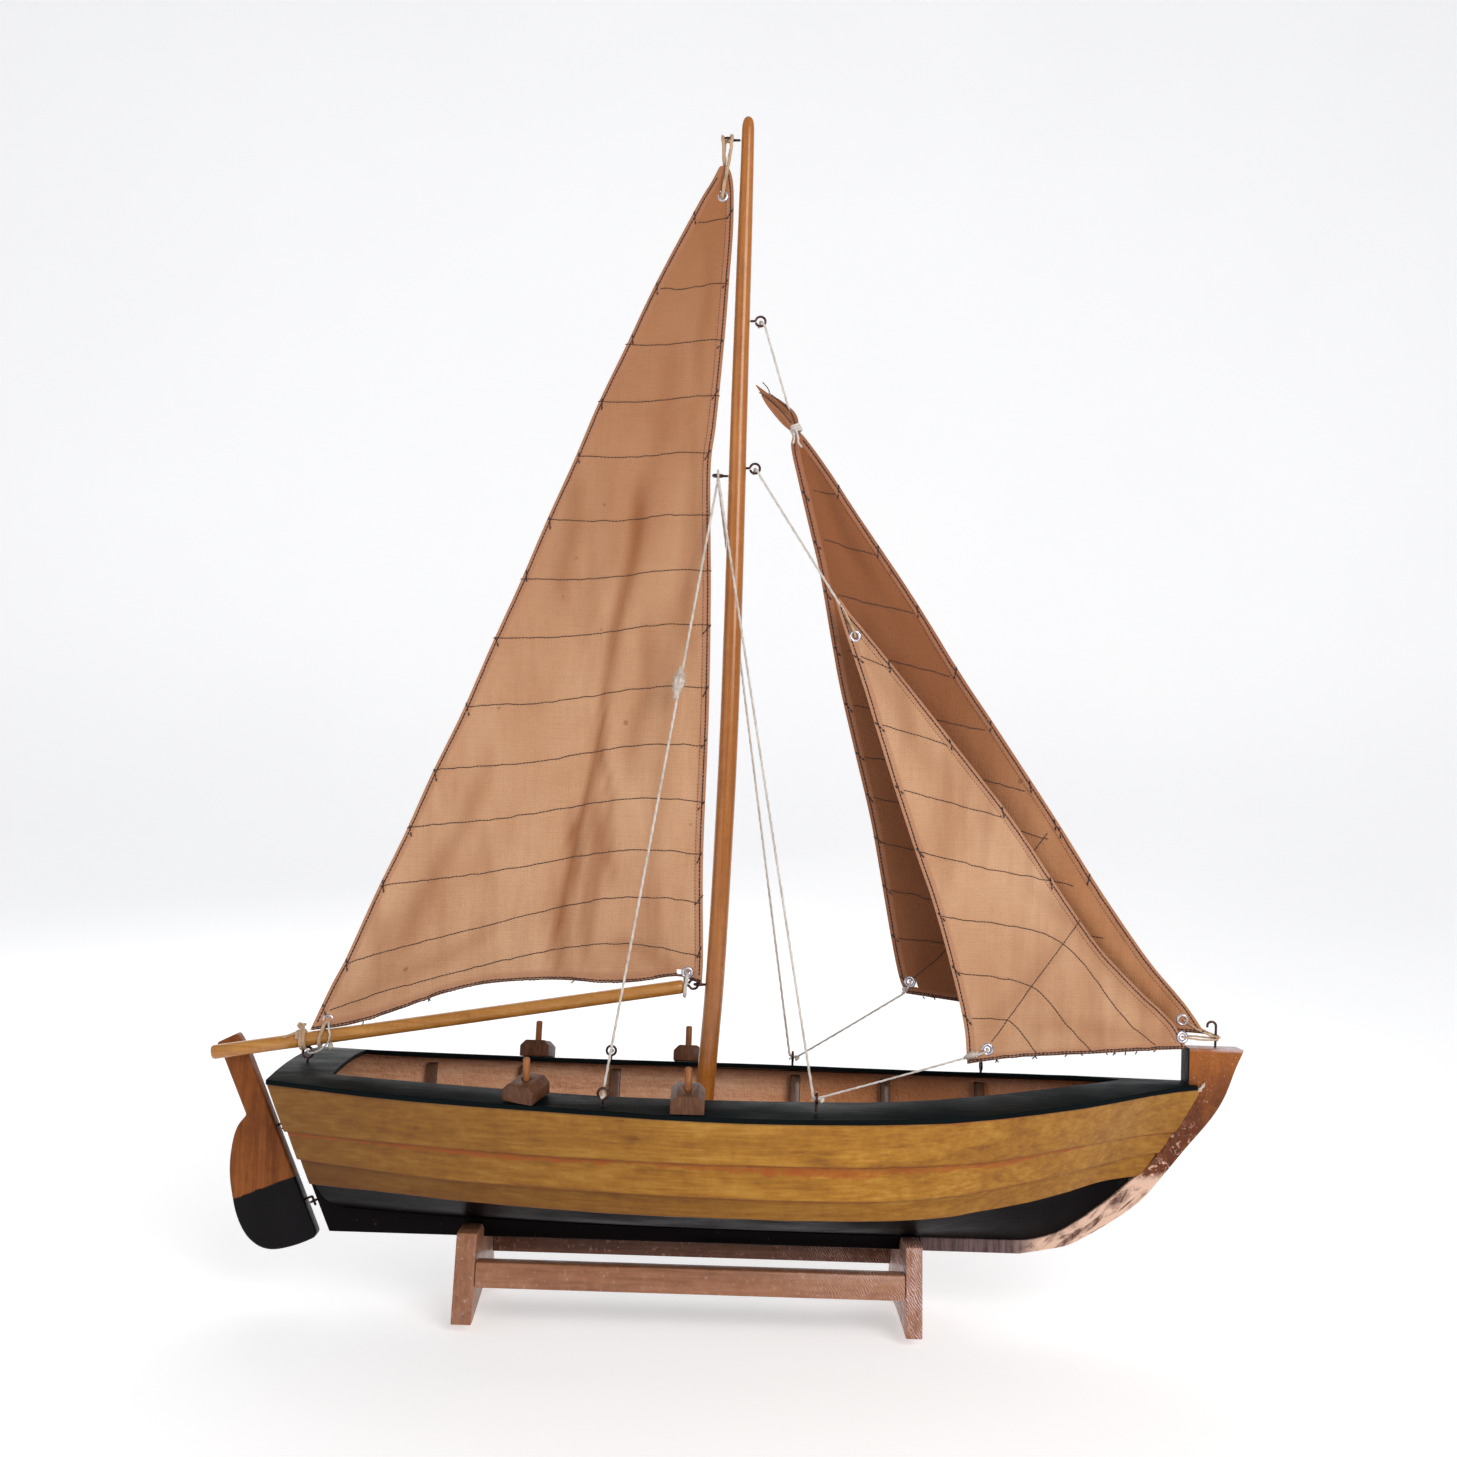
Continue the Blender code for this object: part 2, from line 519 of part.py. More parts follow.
def make_spars():
    step = prism("mast_step", [(-27, 47.6), (-1, 47.6), (-1, 53.4), (-3, 55.4), (-25, 55.4), (-27, 53.4)],
                 -9, 9, "Y", "inner_wood")
    cut_bore(step, (-14.0, 0, 55.4), 4.5 + GAP, 5.2)
    stations = [(Vector((x, 0, z)), r, Vector((1, 0, 0)), Vector((0, 1, 0))) for z, x, r in MAST_LINE]
    loft("mast", round_rings(stations, 14), "spar_varnish")
    aft = Vector(BOOM_AFT)
    fore = Vector(BOOM_FORE)
    run = (fore - aft).normalized()
    side = run.cross(Vector((0, 0, 1))).normalized()
    up = side.cross(run)
    length = (fore - aft).length
    stations = [(aft + run * s, r, side, up) for s, r in
                ((0, BOOM_R - 0.7), (0.7, BOOM_R), (length - 0.7, BOOM_R), (length, BOOM_R - 0.7))]
    loft("boom", round_rings(stations, 12), "spar_varnish", origin=GOOSENECK)


def make_eyes():
    aft = Vector((-1, 0, 0))
    screw_eye("masthead_eye", MASTHEAD, -aft, (0, 1, 0), 3.3)
    screw_eye("shroud_eye_mast", SHROUD_EYE, -aft, (0, 1, 0), 2.3)
    screw_eye("jib_halyard_eye", JIB_EYE, aft, (0, 0, 1), 2.4)
    screw_eye("staysail_halyard_eye", STAY_EYE, aft, (0, 0, 1), 2.0)
    screw_eye("gooseneck_eye", GOOSENECK, -aft, (0, 1, 0), 0.5, radius=2.2, sides=2)
    ring = Vector(GOOSENECK) + Vector((-2.6, 0, 0))
    run = (Vector(BOOM_AFT) - Vector(BOOM_FORE)).normalized()
    ring = Vector((ring.x, -0.1, ring.z))
    up = Vector((0, -1, 0)).cross(run)
    screw_eye("boom_eye", ring, run, up, 1.75, radius=2.2)
    for name, x, y, z, turned in DECK_EYES:
        plane = (0, 1, 0) if turned else (1, 0, 0)
        if name == "mainsheet_eye":
            deck = 109.1 + 2.6 * (1 - (y / 48.7) ** 2)
        else:
            deck = deck_top(x, y)
        screw_eye(name, (x, y, z), (0, 0, -1), plane, z - EYE_R - deck - GAP - 0.1)
    hook = [Vector((233.4, 0, 130.7)), Vector((233.6, 0, 138.5))]
    hook += ring_points((231.5, 0, 140.6), (1, 0, 0), (0, 0, 1), 2.1, 0, 190, 8)
    wire("tack_hook", hook, WIRE, "screw_eye_bronze", origin=hook[0])


def make_rudder():
    foot = Vector((-199.5, 42.6))
    out = Vector((1, RUD_LEAN)).normalized()
    lift = Vector((-RUD_LEAN, 1)).normalized()
    axis = foot + out * (RUD_GAP / 2)
    pivot = (axis.x, 0, axis.y)
    prism("rudder", RUDDER, -4.0, 4.0, "Y", "rudder_wood", origin=pivot)
    for name, height in (("upper", 37.5), ("lower", 0.0)):
        mid = axis + lift * height
        centre = Vector((mid.x, 0, mid.y))
        ahead = Vector((out.x, 0, out.y))
        along_pin = Vector((lift.x, 0, lift.y))
        pin = [centre + along_pin * 2.3 - ahead * (RUD_GAP / 2 - 0.25),
               centre + along_pin * 2.3 - ahead * 0.5, centre + along_pin * 2.15 - ahead * 0.12,
               centre + along_pin * 1.7, centre - along_pin * 2.0]
        wire("pintle_" + name, pin, 0.6, "screw_eye_bronze", origin=pivot)
        screw_eye("gudgeon_" + name, centre, ahead, (0, 1, 0), RUD_GAP / 2 - 1.65 - 0.25,
                  radius=1.65, rod=0.45)


def sail_rows(leech, luff, foot, columns, rows_count, belly):
    """Grid between the aft and fore edges, foot first, with the belly pushed sideways."""
    rows = []
    for r in range(rows_count):
        t = r / (rows_count - 1)
        a = along(leech, t)
        b = along(luff, t)
        row = []
        for c in range(columns):
            s = c / (columns - 1)
            p = a.lerp(b, s)
            p.y += belly * math.sin(math.pi * s) * math.sin(math.pi * min(t + 0.15, 1.0))
            if foot:
                edge = along([(x, z) for x, z in foot], s)
                base = Vector(leech[0]).lerp(Vector(luff[0]), s)
                p.x += (edge.x - base.x) * (1 - t) ** 3
                p.z += (edge.y - base.z) * (1 - t) ** 3
            row.append(p)
        rows.append(row)
    return rows


def make_sails():
    rows = sail_rows(MAIN_LEECH, MAIN_LUFF, MAIN_FOOT, 8, 12, -1.5)
    main = sheet("mainsail", rows, SAIL_THICK, "sail_cloth")
    pivot = Vector(GOOSENECK) * MM
    main.data.transform(Matrix.Translation(-pivot))
    main.location = pivot
    sheet("jib", sail_rows(JIB_LEECH, JIB_LUFF, None, 7, 11, 3.0), SAIL_THICK, "sail_cloth")
    sheet("staysail", sail_rows(STAY_LEECH, STAY_LUFF, None, 7, 10, -2.5), SAIL_THICK, "sail_cloth")


def shroud(name, side, aft_eye, fore_eye):
    """One line: aft deck eye, up through the mast eye, over it and down to the fore deck eye."""
    ex, ey, ez = aft_eye
    fx, fy, fz = fore_eye
    mx, my, mz = SHROUD_EYE
    pts = [(ex, ey + side * 2.2, ez - 0.3), (ex, ey, ez), (ex, ey - side * 1.5, ez + 0.9),
           (ex + 0.3, ey - side * 2.1, ez + 3.6), (mx, my + side * 0.75, mz - 2.4),
           (mx, my + side * 0.8, mz + 1.0), (mx, my + side * 1.6, mz + 1.9),
           (mx, my + side * 3.2, mz + 1.9), (mx, my + side * 4.1, mz + 0.8),
           (mx + 0.1, my + side * 4.3, mz - 1.0),
           (fx - 2.1, fy - side * 0.3, fz + 3.8), (fx - 1.4, fy, fz + 0.8), (fx, fy, fz),
           (fx + 2.2, fy, fz - 0.3)]
    wire(name, pts, TWINE, "twine")


def make_rigging():
    eyes = {name: (x, y, z) for name, x, y, z, turned in DECK_EYES}
    shroud("shroud_starboard", -1, eyes["shroud_eye_aft_starboard"], eyes["shroud_eye_fore_starboard"])
    shroud("shroud_port", 1, eyes["shroud_eye_aft_port"], eyes["shroud_eye_fore_port"])
    for name, eye, end in (("jib_halyard", JIB_EYE, (21.6, 1.6, 422.6)),
                           ("staysail_halyard", STAY_EYE, (48.2, -2.6, 334.4))):
        x, y, z = eye
        pts = [(x - 0.2, y + 2.2, z - 0.3), (x, y, z), (x + 0.9, y - 1.5, z - 0.8),
               (x + 2.6, y - 1.8, z - 4.0), end]
        wire(name, pts, TWINE, "twine")
    for name, eye, start in (("jib_sheet", eyes["shroud_eye_fore_port"], (84.6, 23.6, 148.2)),
                             ("staysail_sheet", eyes["shroud_eye_fore_starboard"], (108.0, -22.3, 124.6))):
        x, y, z = eye
        side = math.copysign(1, y)
        pts = [start, (x + 3.0, y - side * 1.0, z + 0.7), (x + 1.2, y - side * 0.9, z + 0.35),
               (x - 1.8, y - side * 1.25, z - 1.0)]
        wire(name, pts, TWINE * 0.8, "twine")


clear_scene()
OBJECTS = new_collection(NAME)
CUTTERS = new_collection("cutters")
make_stand()
make_backbone()
make_transom()
make_bottom()
for strake, label in ((0, "sheer"), (1, "middle"), (2, "lower")):
    for hand, word in ((-1, "starboard"), (1, "port")):
        make_strake(label + "_strake_" + word, strake, hand, "hull_varnish")
make_deck()
for number, rib_x in enumerate(RIB_X, 1):
    make_rib(number, rib_x)
make_blocks()
make_spars()
make_eyes()
make_rudder()
make_sails()
make_rigging()
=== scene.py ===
"""Looks of a model sailing ship on its stand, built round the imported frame.

Metres, +Z up, +X to the bow, +Y to port. The tables are in millimetres and scaled by MM.
"""

import logging
import math
import random
from bisect import bisect_right
from dataclasses import dataclass, field
from enum import Enum
from typing import Union

import bmesh
import bpy
from mathutils import Matrix, Vector, noise
from mathutils.bvhtree import BVHTree


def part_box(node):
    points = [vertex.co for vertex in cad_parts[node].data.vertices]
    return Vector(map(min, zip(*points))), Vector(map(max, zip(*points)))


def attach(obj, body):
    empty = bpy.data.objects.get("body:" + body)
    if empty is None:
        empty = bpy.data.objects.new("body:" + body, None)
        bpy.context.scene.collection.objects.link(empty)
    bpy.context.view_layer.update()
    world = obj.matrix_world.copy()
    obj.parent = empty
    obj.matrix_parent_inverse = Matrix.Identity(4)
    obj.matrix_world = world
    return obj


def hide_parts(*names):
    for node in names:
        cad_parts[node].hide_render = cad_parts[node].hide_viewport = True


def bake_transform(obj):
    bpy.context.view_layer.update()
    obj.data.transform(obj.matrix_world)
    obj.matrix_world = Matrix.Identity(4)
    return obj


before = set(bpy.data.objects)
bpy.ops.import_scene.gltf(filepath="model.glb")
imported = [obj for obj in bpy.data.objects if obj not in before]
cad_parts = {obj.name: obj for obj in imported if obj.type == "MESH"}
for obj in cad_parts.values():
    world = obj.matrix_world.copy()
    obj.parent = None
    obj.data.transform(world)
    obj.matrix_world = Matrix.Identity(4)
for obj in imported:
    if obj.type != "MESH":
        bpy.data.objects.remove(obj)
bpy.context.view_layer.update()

MM = 0.001
SEED = 11
LOG = logging.getLogger("ship")
Point = tuple[float, float, float]
Spot = tuple[float, float]
Colour = tuple[float, float, float, float]
Object = bpy.types.Object
Material = bpy.types.Material
Socket = bpy.types.NodeSocket
Value = Union[Socket, float, tuple]
Amount = Union[float, Vector]


class Body(Enum):
    """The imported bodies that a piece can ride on."""

    STAND = "stand"
    HULL = "hull"
    RUDDER = "rudder"
    BOOM = "boom"


class Slot(Enum):
    """The record's material slots."""

    STAND = "stand_wood"
    HULL = "hull_varnish"
    BOTTOM = "bottom_paint"
    STEM = "stem_wood"
    DECK = "deck_paint"
    INNER = "inner_wood"
    RUDDER = "rudder_wood"
    SPAR = "spar_varnish"
    BLOCK = "block_wood"
    CLOTH = "sail_cloth"
    BRONZE = "screw_eye_bronze"
    TWINE = "twine"


class Side(Enum):
    """Starboard faces -Y, port faces +Y."""

    STARBOARD = -1
    PORT = 1


# ---- small geometry helpers --------------------------------------------------
def clamp(value: float, low: float = 0.0, high: float = 1.0) -> float:
    """Keeps a value between two limits."""
    return max(low, min(high, value))


def ease(value: float) -> float:
    """Smooth step from 0 to 1."""
    value = clamp(value)
    return value * value * (3 - 2 * value)


def wobble(x: float, y: float, z: float, pitch: float) -> float:
    """Smooth noise between -1 and 1 whose waves are about `pitch` long."""
    return noise.noise(Vector((x, y, z)) / pitch)


def between(a: Amount, b: Amount, leave: Amount, arrive: Amount, t: float) -> Amount:
    """Smooth curve from a to b, leaving and arriving at the given rates.

    Args:
        a: Value at the start.
        b: Value at the end.
        leave: Rate of change at the start.
        arrive: Rate of change at the end.
        t: Way along, 0 to 1.

    Returns:
        The value at t.
    """
    return (a * (2 * t**3 - 3 * t**2 + 1) + b * (3 * t**2 - 2 * t**3)
            + leave * (t**3 - 2 * t**2 + t) + arrive * (t**3 - t**2))


def smooth_at(table: list, x: float, col: int = 1) -> float:
    """Reads a table sorted by its first column with a smooth curve.

    Args:
        table: Rows of numbers, the first one rising.
        x: Where to read it.
        col: Which column to read.

    Returns:
        The interpolated value.
    """
    last = len(table) - 1
    x = clamp(x, table[0][0], table[last][0])
    i = min(max(bisect_right([row[0] for row in table], x) - 1, 0), last - 1)

    def slope(j: int) -> float:
        """Slope at row j from its neighbours."""
        low, high = max(j - 1, 0), min(j + 1, last)
        return (table[high][col] - table[low][col]) / (table[high][0] - table[low][0])

    h = table[i + 1][0] - table[i][0]
    return between(table[i][col], table[i + 1][col], slope(i) * h, slope(i + 1) * h, (x - table[i][0]) / h)


class Path:
    """A smooth curve through points, read by the fraction of its length."""

    def __init__(self, points: list) -> None:
        self.points = [Vector(p) for p in points]
        self.marks = [0.0]
        for a, b in zip(self.points, self.points[1:]):
            self.marks.append(self.marks[-1] + (b - a).length)
        self.length = self.marks[-1]

    def slope(self, j: int) -> Vector:
        """Direction at point j, per unit of length."""
        low, high = max(j - 1, 0), min(j + 1, len(self.points) - 1)
        return (self.points[high] - self.points[low]) / (self.marks[high] - self.marks[low])

    def at(self, t: float) -> Vector:
        """Point at fraction t."""
        s = clamp(t) * self.length
        i = min(max(bisect_right(self.marks, s) - 1, 0), len(self.points) - 2)
        h = self.marks[i + 1] - self.marks[i]
        return between(self.points[i], self.points[i + 1], self.slope(i) * h, self.slope(i + 1) * h,
                       (s - self.marks[i]) / h)

    def walk(self, step: float) -> list:
        """Points about `step` apart along the whole curve."""
        count = max(2, round(self.length / step))
        return [self.at(i / count) for i in range(count + 1)]


def placed(name: str, data: bpy.types.ID) -> Object:
    """Puts a mesh, camera or light into the scene."""
    obj = bpy.data.objects.new(name, data)
    bpy.context.scene.collection.objects.link(obj)
    return obj


def make_object(name: str, verts: list, faces: list, smooth: bool = True) -> Object:
    """Makes a mesh object at the origin from millimetre points, with its faces turned outward.

    Args:
        name: Piece name.
        verts: Points in millimetres.
        faces: Lists of point numbers.
        smooth: Whether the faces are shaded smooth up to 40 degrees.

    Returns:
        The new object.
    """
    mesh = bpy.data.meshes.new(name)
    mesh.from_pydata([Vector(v) * MM for v in verts], [], faces)
    work = bmesh.new()
    work.from_mesh(mesh)
    bmesh.ops.recalc_face_normals(work, faces=work.faces)
    work.to_mesh(mesh)
    work.free()
    if smooth:
        mesh.shade_smooth()
        mesh.set_sharp_from_angle(angle=math.radians(42))
    return placed(name, mesh)


def set_values(obj: Object, name: str, values: list) -> None:
    """Stores one number per vertex under a name that materials can read."""
    layer = obj.data.attributes.new(name, "FLOAT", "POINT")
    layer.data.foreach_set("value", values)


def set_uv(obj: Object, spots: list) -> None:
    """Stores a UV map in metres from one (u, v) in millimetres for each vertex."""
    layer = obj.data.uv_layers.new(name="UVMap")
    flat = []
    for loop in obj.data.loops:
        u, v = spots[loop.vertex_index]
        flat += [u * MM, v * MM]
    layer.data.foreach_set("uv", flat)


def loft(rings: list, closed: bool = False) -> tuple:
    """Joins equal rings into a closed skin.

    Args:
        rings: Lists of points, each a closed ring.
        closed: Whether the last ring joins the first; otherwise the ends are capped.

    Returns:
        The points and faces.
    """
    count, n = len(rings), len(rings[0])
    faces = []
    for r in range(count if closed else count - 1):
        nxt = (r + 1) % count
        for i in range(n):
            j = (i + 1) % n
            faces.append([r * n + i, r * n + j, nxt * n + j, nxt * n + i])
    if not closed:
        faces.append(list(range(n)))
        faces.append(list(range(count * n - 1, count * n - n - 1, -1)))
    return [p for ring in rings for p in ring], faces


def tube(name: str, points: list, radius: float | list, sides: int = 12, lobes: int = 0, lay: float = 0.0,
         round_ends: bool = True) -> Object:
    """Sweeps a round or stranded section along points.

    Args:
        name: Piece name.
        points: Centre line in millimetres.
        radius: One radius, or one for each point.
        sides: Corners in the section.
        lobes: Strands that the section shows, 0 for a plain round one.
        lay: Length in which the strands turn once.
        round_ends: Whether both ends are domed.

    Returns:
        The new object, with U round the section and V along it.
    """
    pts = [Vector(p) for p in points]
    radii = list(radius) if isinstance(radius, (list, tuple)) else [radius] * len(pts)
    if round_ends:
        head, tail = (pts[0] - pts[1]).normalized(), (pts[-1] - pts[-2]).normalized()
        first, last = radii[0], radii[-1]
        pts = [pts[0] + head * first * k for k in (0.62, 0.5, 0.28)] + pts
        pts += [pts[-1] + tail * last * k for k in (0.28, 0.5, 0.62)]
        radii = [first * k for k in (0.28, 0.62, 0.88)] + radii + [last * k for k in (0.88, 0.62, 0.28)]
    rings, spots = [], []
    run = (pts[1] - pts[0]).normalized()
    across = run.orthogonal().normalized()
    travelled = 0.0
    for k, point in enumerate(pts):
        ahead = pts[min(k + 1, len(pts) - 1)] - pts[max(k - 1, 0)]
        ahead.normalize()
        across = across - ahead * across.dot(ahead)
        across.normalize()
        up = ahead.cross(across)
        if k:
            travelled += (point - pts[k - 1]).length
        ring = []
        for i in range(sides):
            angle = math.tau * i / sides
            reach = radii[k]
            if lobes:
                reach *= 1 + 0.15 * math.cos(lobes * (angle + math.tau * travelled / (lay * lobes)))
            ring.append(point + (across * math.cos(angle) + up * math.sin(angle)) * reach)
            spots.append((i / sides * 6, travelled))
        rings.append(ring)
    verts, faces = loft(rings)
    obj = make_object(name, verts, faces)
    if lobes:
        obj.data.shade_smooth()
    set_uv(obj, spots)
    return obj


def turned(name: str, profile: list, centre: Vector, axis: Vector, sides: int = 28) -> Object:
    """Turns a closed profile of (radius, height) round an axis.

    Args:
        name: Name of the object.
        profile: Closed ring of (radius, height) in millimetres.
        centre: Foot of the axis.
        axis: Direction of the axis.
        sides: Faces round the axis.

    Returns:
        The new object.
    """
    axis = axis.normalized()
    across = axis.orthogonal().normalized()
    up = axis.cross(across)
    rings = []
    for i in range(sides):
        a = math.tau * i / sides
        out = across * math.cos(a) + up * math.sin(a)
        rings.append([centre + out * r + axis * h for r, h in profile])
    verts, faces = loft(rings, closed=True)
    obj = make_object(name, verts, faces)
    obj.data.shade_smooth()
    return obj


def eased(obj: Object, width: float, segments: int, angle: float) -> None:
    """Rounds an object's edges and shades it smooth between them.

    Args:
        obj: Object to finish.
        width: Width of the eased edge in millimetres.
        segments: Faces across that edge.
        angle: Edges sharper than this, in degrees, are eased.
    """
    bevel = obj.modifiers.new("eased_edges", "BEVEL")
    bevel.width, bevel.segments = width * MM, segments
    bevel.limit_method, bevel.angle_limit = "ANGLE", math.radians(angle)
    bake(obj)
    obj.data.shade_smooth()
    obj.data.set_sharp_from_angle(angle=math.radians(34))


def refined(node: str, bevel: float) -> Object:
    """Makes a finer copy of a CAD node: merged, its flat faces joined and its edges eased.

    Args:
        node: CAD node to copy.
        bevel: Width of the eased edge in millimetres.

    Returns:
        The new object, which stands for the node.
    """
    work = bmesh.new()
    work.from_mesh(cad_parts[node].data)
    bmesh.ops.remove_doubles(work, verts=work.verts, dist=0.00002)
    bmesh.ops.dissolve_limit(work, angle_limit=math.radians(1.0), verts=work.verts, edges=work.edges)
    bmesh.ops.recalc_face_normals(work, faces=work.faces)
    for layer in list(work.loops.layers.uv.values()):
        work.loops.layers.uv.remove(layer)
    mesh = bpy.data.meshes.new(node + "_finished")
    work.to_mesh(mesh)
    work.free()
    obj = placed(node + "_finished", mesh)
    obj.data.materials.clear()
    eased(obj, bevel, 3, 32)
    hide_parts(node)
    return obj


def plate(name: str, outline: list, half: float, bevel: float) -> Object:
    """Makes an upright board from an (x, z) outline, with eased edges.

    Args:
        name: Piece name.
        outline: Spots round the board in millimetres.
        half: Half its thickness.
        bevel: Width of the eased edge.

    Returns:
        The new object.
    """
    n = len(outline)
    verts = [(x, -half, z) for x, z in outline] + [(x, half, z) for x, z in outline]
    faces = [list(range(n)), list(range(2 * n - 1, n - 1, -1))]
    faces += [[i, n + i, n + (i + 1) % n, (i + 1) % n] for i in range(n)]
    obj = make_object(name, verts, faces)
    eased(obj, bevel, 4, 30)
    return obj


def bake(obj: Object) -> None:
    """Replaces an object's mesh with its evaluated one and drops its modifiers."""
    graph = bpy.context.evaluated_depsgraph_get()
    mesh = bpy.data.meshes.new_from_object(obj.evaluated_get(graph))
    obj.modifiers.clear()
    obj.data = mesh


# ---- materials ---------------------------------------------------------------
def srgb(red: float, green: float, blue: float) -> Colour:
    """Linear colour from display values of 0 to 255."""
    def line(value: float) -> float:
        """One channel."""
        value /= 255
        return value / 12.92 if value <= 0.04045 else ((value + 0.055) / 1.055) ** 2.4
    return (line(red), line(green), line(blue), 1.0)


def add_node(tree: bpy.types.NodeTree, kind: str, inputs: dict, **settings) -> bpy.types.Node:
    """Adds a node to a tree, with its inputs linked or set and its own settings.

    Args:
        tree: Tree to add to.
        kind: Blender's name for the node.
        inputs: Socket or value for each input.
        settings: The node's own options.

    Returns:
        The new node.
    """
    made = tree.nodes.new(kind)
    for key, value in settings.items():
        setattr(made, key, value)
    for key, value in inputs.items():
        if isinstance(value, bpy.types.NodeSocket):
            tree.links.new(value, made.inputs[key])
        else:
            made.inputs[key].default_value = value
    return made


class Graph:
    """Shorthand for building one material's nodes."""

    def __init__(self, name: str) -> None:
        self.material = bpy.data.materials.new(name)
        self.material.use_nodes = True
        self.tree = self.material.node_tree
        self.shader = self.tree.nodes["Principled BSDF"]
        coords = self.tree.nodes.new("ShaderNodeTexCoord")
        self.place = coords.outputs["Object"]
        self.uv = coords.outputs["UV"]

    def node(self, kind: str, inputs: dict, **settings) -> bpy.types.Node:
        """Adds a node to this material."""
        return add_node(self.tree, kind, inputs, **settings)

    def scaled(self, vector: Value, scale: Point, turn: Point = (0, 0, 0)) -> Socket:
        """Coordinates turned by degrees, then stretched by a scale."""
        if any(turn):
            spin = [math.radians(a) for a in turn]
            vector = self.node("ShaderNodeMapping", {"Vector": vector, "Rotation": spin}).outputs[0]
        return self.node("ShaderNodeMapping", {"Vector": vector, "Scale": scale}).outputs[0]

    def grain(self, vector: Value, scale: float, detail: float = 3.0, rough: float = 0.55,
              warp: float = 0.0) -> Socket:
        """Noise from 0 to 1."""
        return self.node("ShaderNodeTexNoise", {"Vector": vector, "Scale": scale, "Detail": detail,
                                                "Roughness": rough, "Distortion": warp}).outputs["Fac"]

    def stripes(self, vector: Value, scale: float, warp: float = 0.0, detail: float = 2.0) -> Socket:
        """Wave bands across X from 0 to 1."""
        return self.node("ShaderNodeTexWave", {"Vector": vector, "Scale": scale, "Distortion": warp,
                                               "Detail": detail}).outputs["Fac"]

    def ramp(self, value: Value, *stops: tuple) -> Socket:
        """Colour ramp through (place, colour) stops."""
        made = self.node("ShaderNodeValToRGB", {"Fac": value})
        made.color_ramp.elements[0].position, made.color_ramp.elements[0].color = stops[0]
        made.color_ramp.elements[1].position, made.color_ramp.elements[1].color = stops[-1]
        for place, colour in stops[1:-1]:
            made.color_ramp.elements.new(place).color = colour
        return made.outputs["Color"]

    def blend(self, factor: Value, low: Value, high: Value, mode: str = "MIX") -> Socket:
        """Mixes two colours."""
        return self.node("ShaderNodeMix", {0: factor, 6: low, 7: high}, data_type="RGBA",
                         blend_type=mode).outputs[2]

    def calc(self, operation: str, first: Value, second: Value = 0.0, third: Value = 0.0) -> Socket:
        """One arithmetic step."""
        return self.node("ShaderNodeMath", {0: first, 1: second, 2: third}, operation=operation).outputs[0]

    def times(self, first: Value, second: Value) -> Socket:
        """Product of two values."""
        return self.calc("MULTIPLY", first, second)

    def plus(self, first: Value, second: Value) -> Socket:
        """Sum of two values."""
        return self.calc("ADD", first, second)

    def fit(self, value: Value, low: float, high: float, to_low: float = 0.0, to_high: float = 1.0) -> Socket:
        """Clamped linear change of range."""
        return self.node("ShaderNodeMapRange", {"Value": value, "From Min": low, "From Max": high,
                                                "To Min": to_low, "To Max": to_high}).outputs[0]

    def value(self, name: str) -> Socket:
        """A number stored on the mesh."""
        return self.node("ShaderNodeAttribute", {}, attribute_name=name).outputs["Fac"]

    def axes(self) -> list:
        """The X, Y and Z of the object coordinates, in metres."""
        return list(self.node("ShaderNodeSeparateXYZ", {0: self.place}).outputs)

    def bump(self, height: Value, distance: float, strength: float = 1.0,
             before: Value | None = None) -> Socket:
        """Surface relief `distance` metres deep."""
        inputs = {"Height": height, "Distance": distance, "Strength": strength}
        if before is not None:
            inputs["Normal"] = before
        return self.node("ShaderNodeBump", inputs).outputs[0]

    def finish(self, colour: Value, rough: Value, relief: Value = None, **uniform: float) -> Material:
        """Links the results to the shader; the rest are values set on its own sockets.

        Args:
            colour: Base colour.
            rough: Roughness.
            relief: Normal from the surface relief.

        Returns:
            The finished material.
        """
        for key, value in (("Base Color", colour), ("Roughness", rough), ("Normal", relief)):
            if isinstance(value, bpy.types.NodeSocket):
                self.tree.links.new(value, self.shader.inputs[key])
            elif value is not None:
                self.shader.inputs[key].default_value = value
        for key, value in uniform.items():
            self.shader.inputs[key.replace("_", " ")].default_value = value
        return self.material


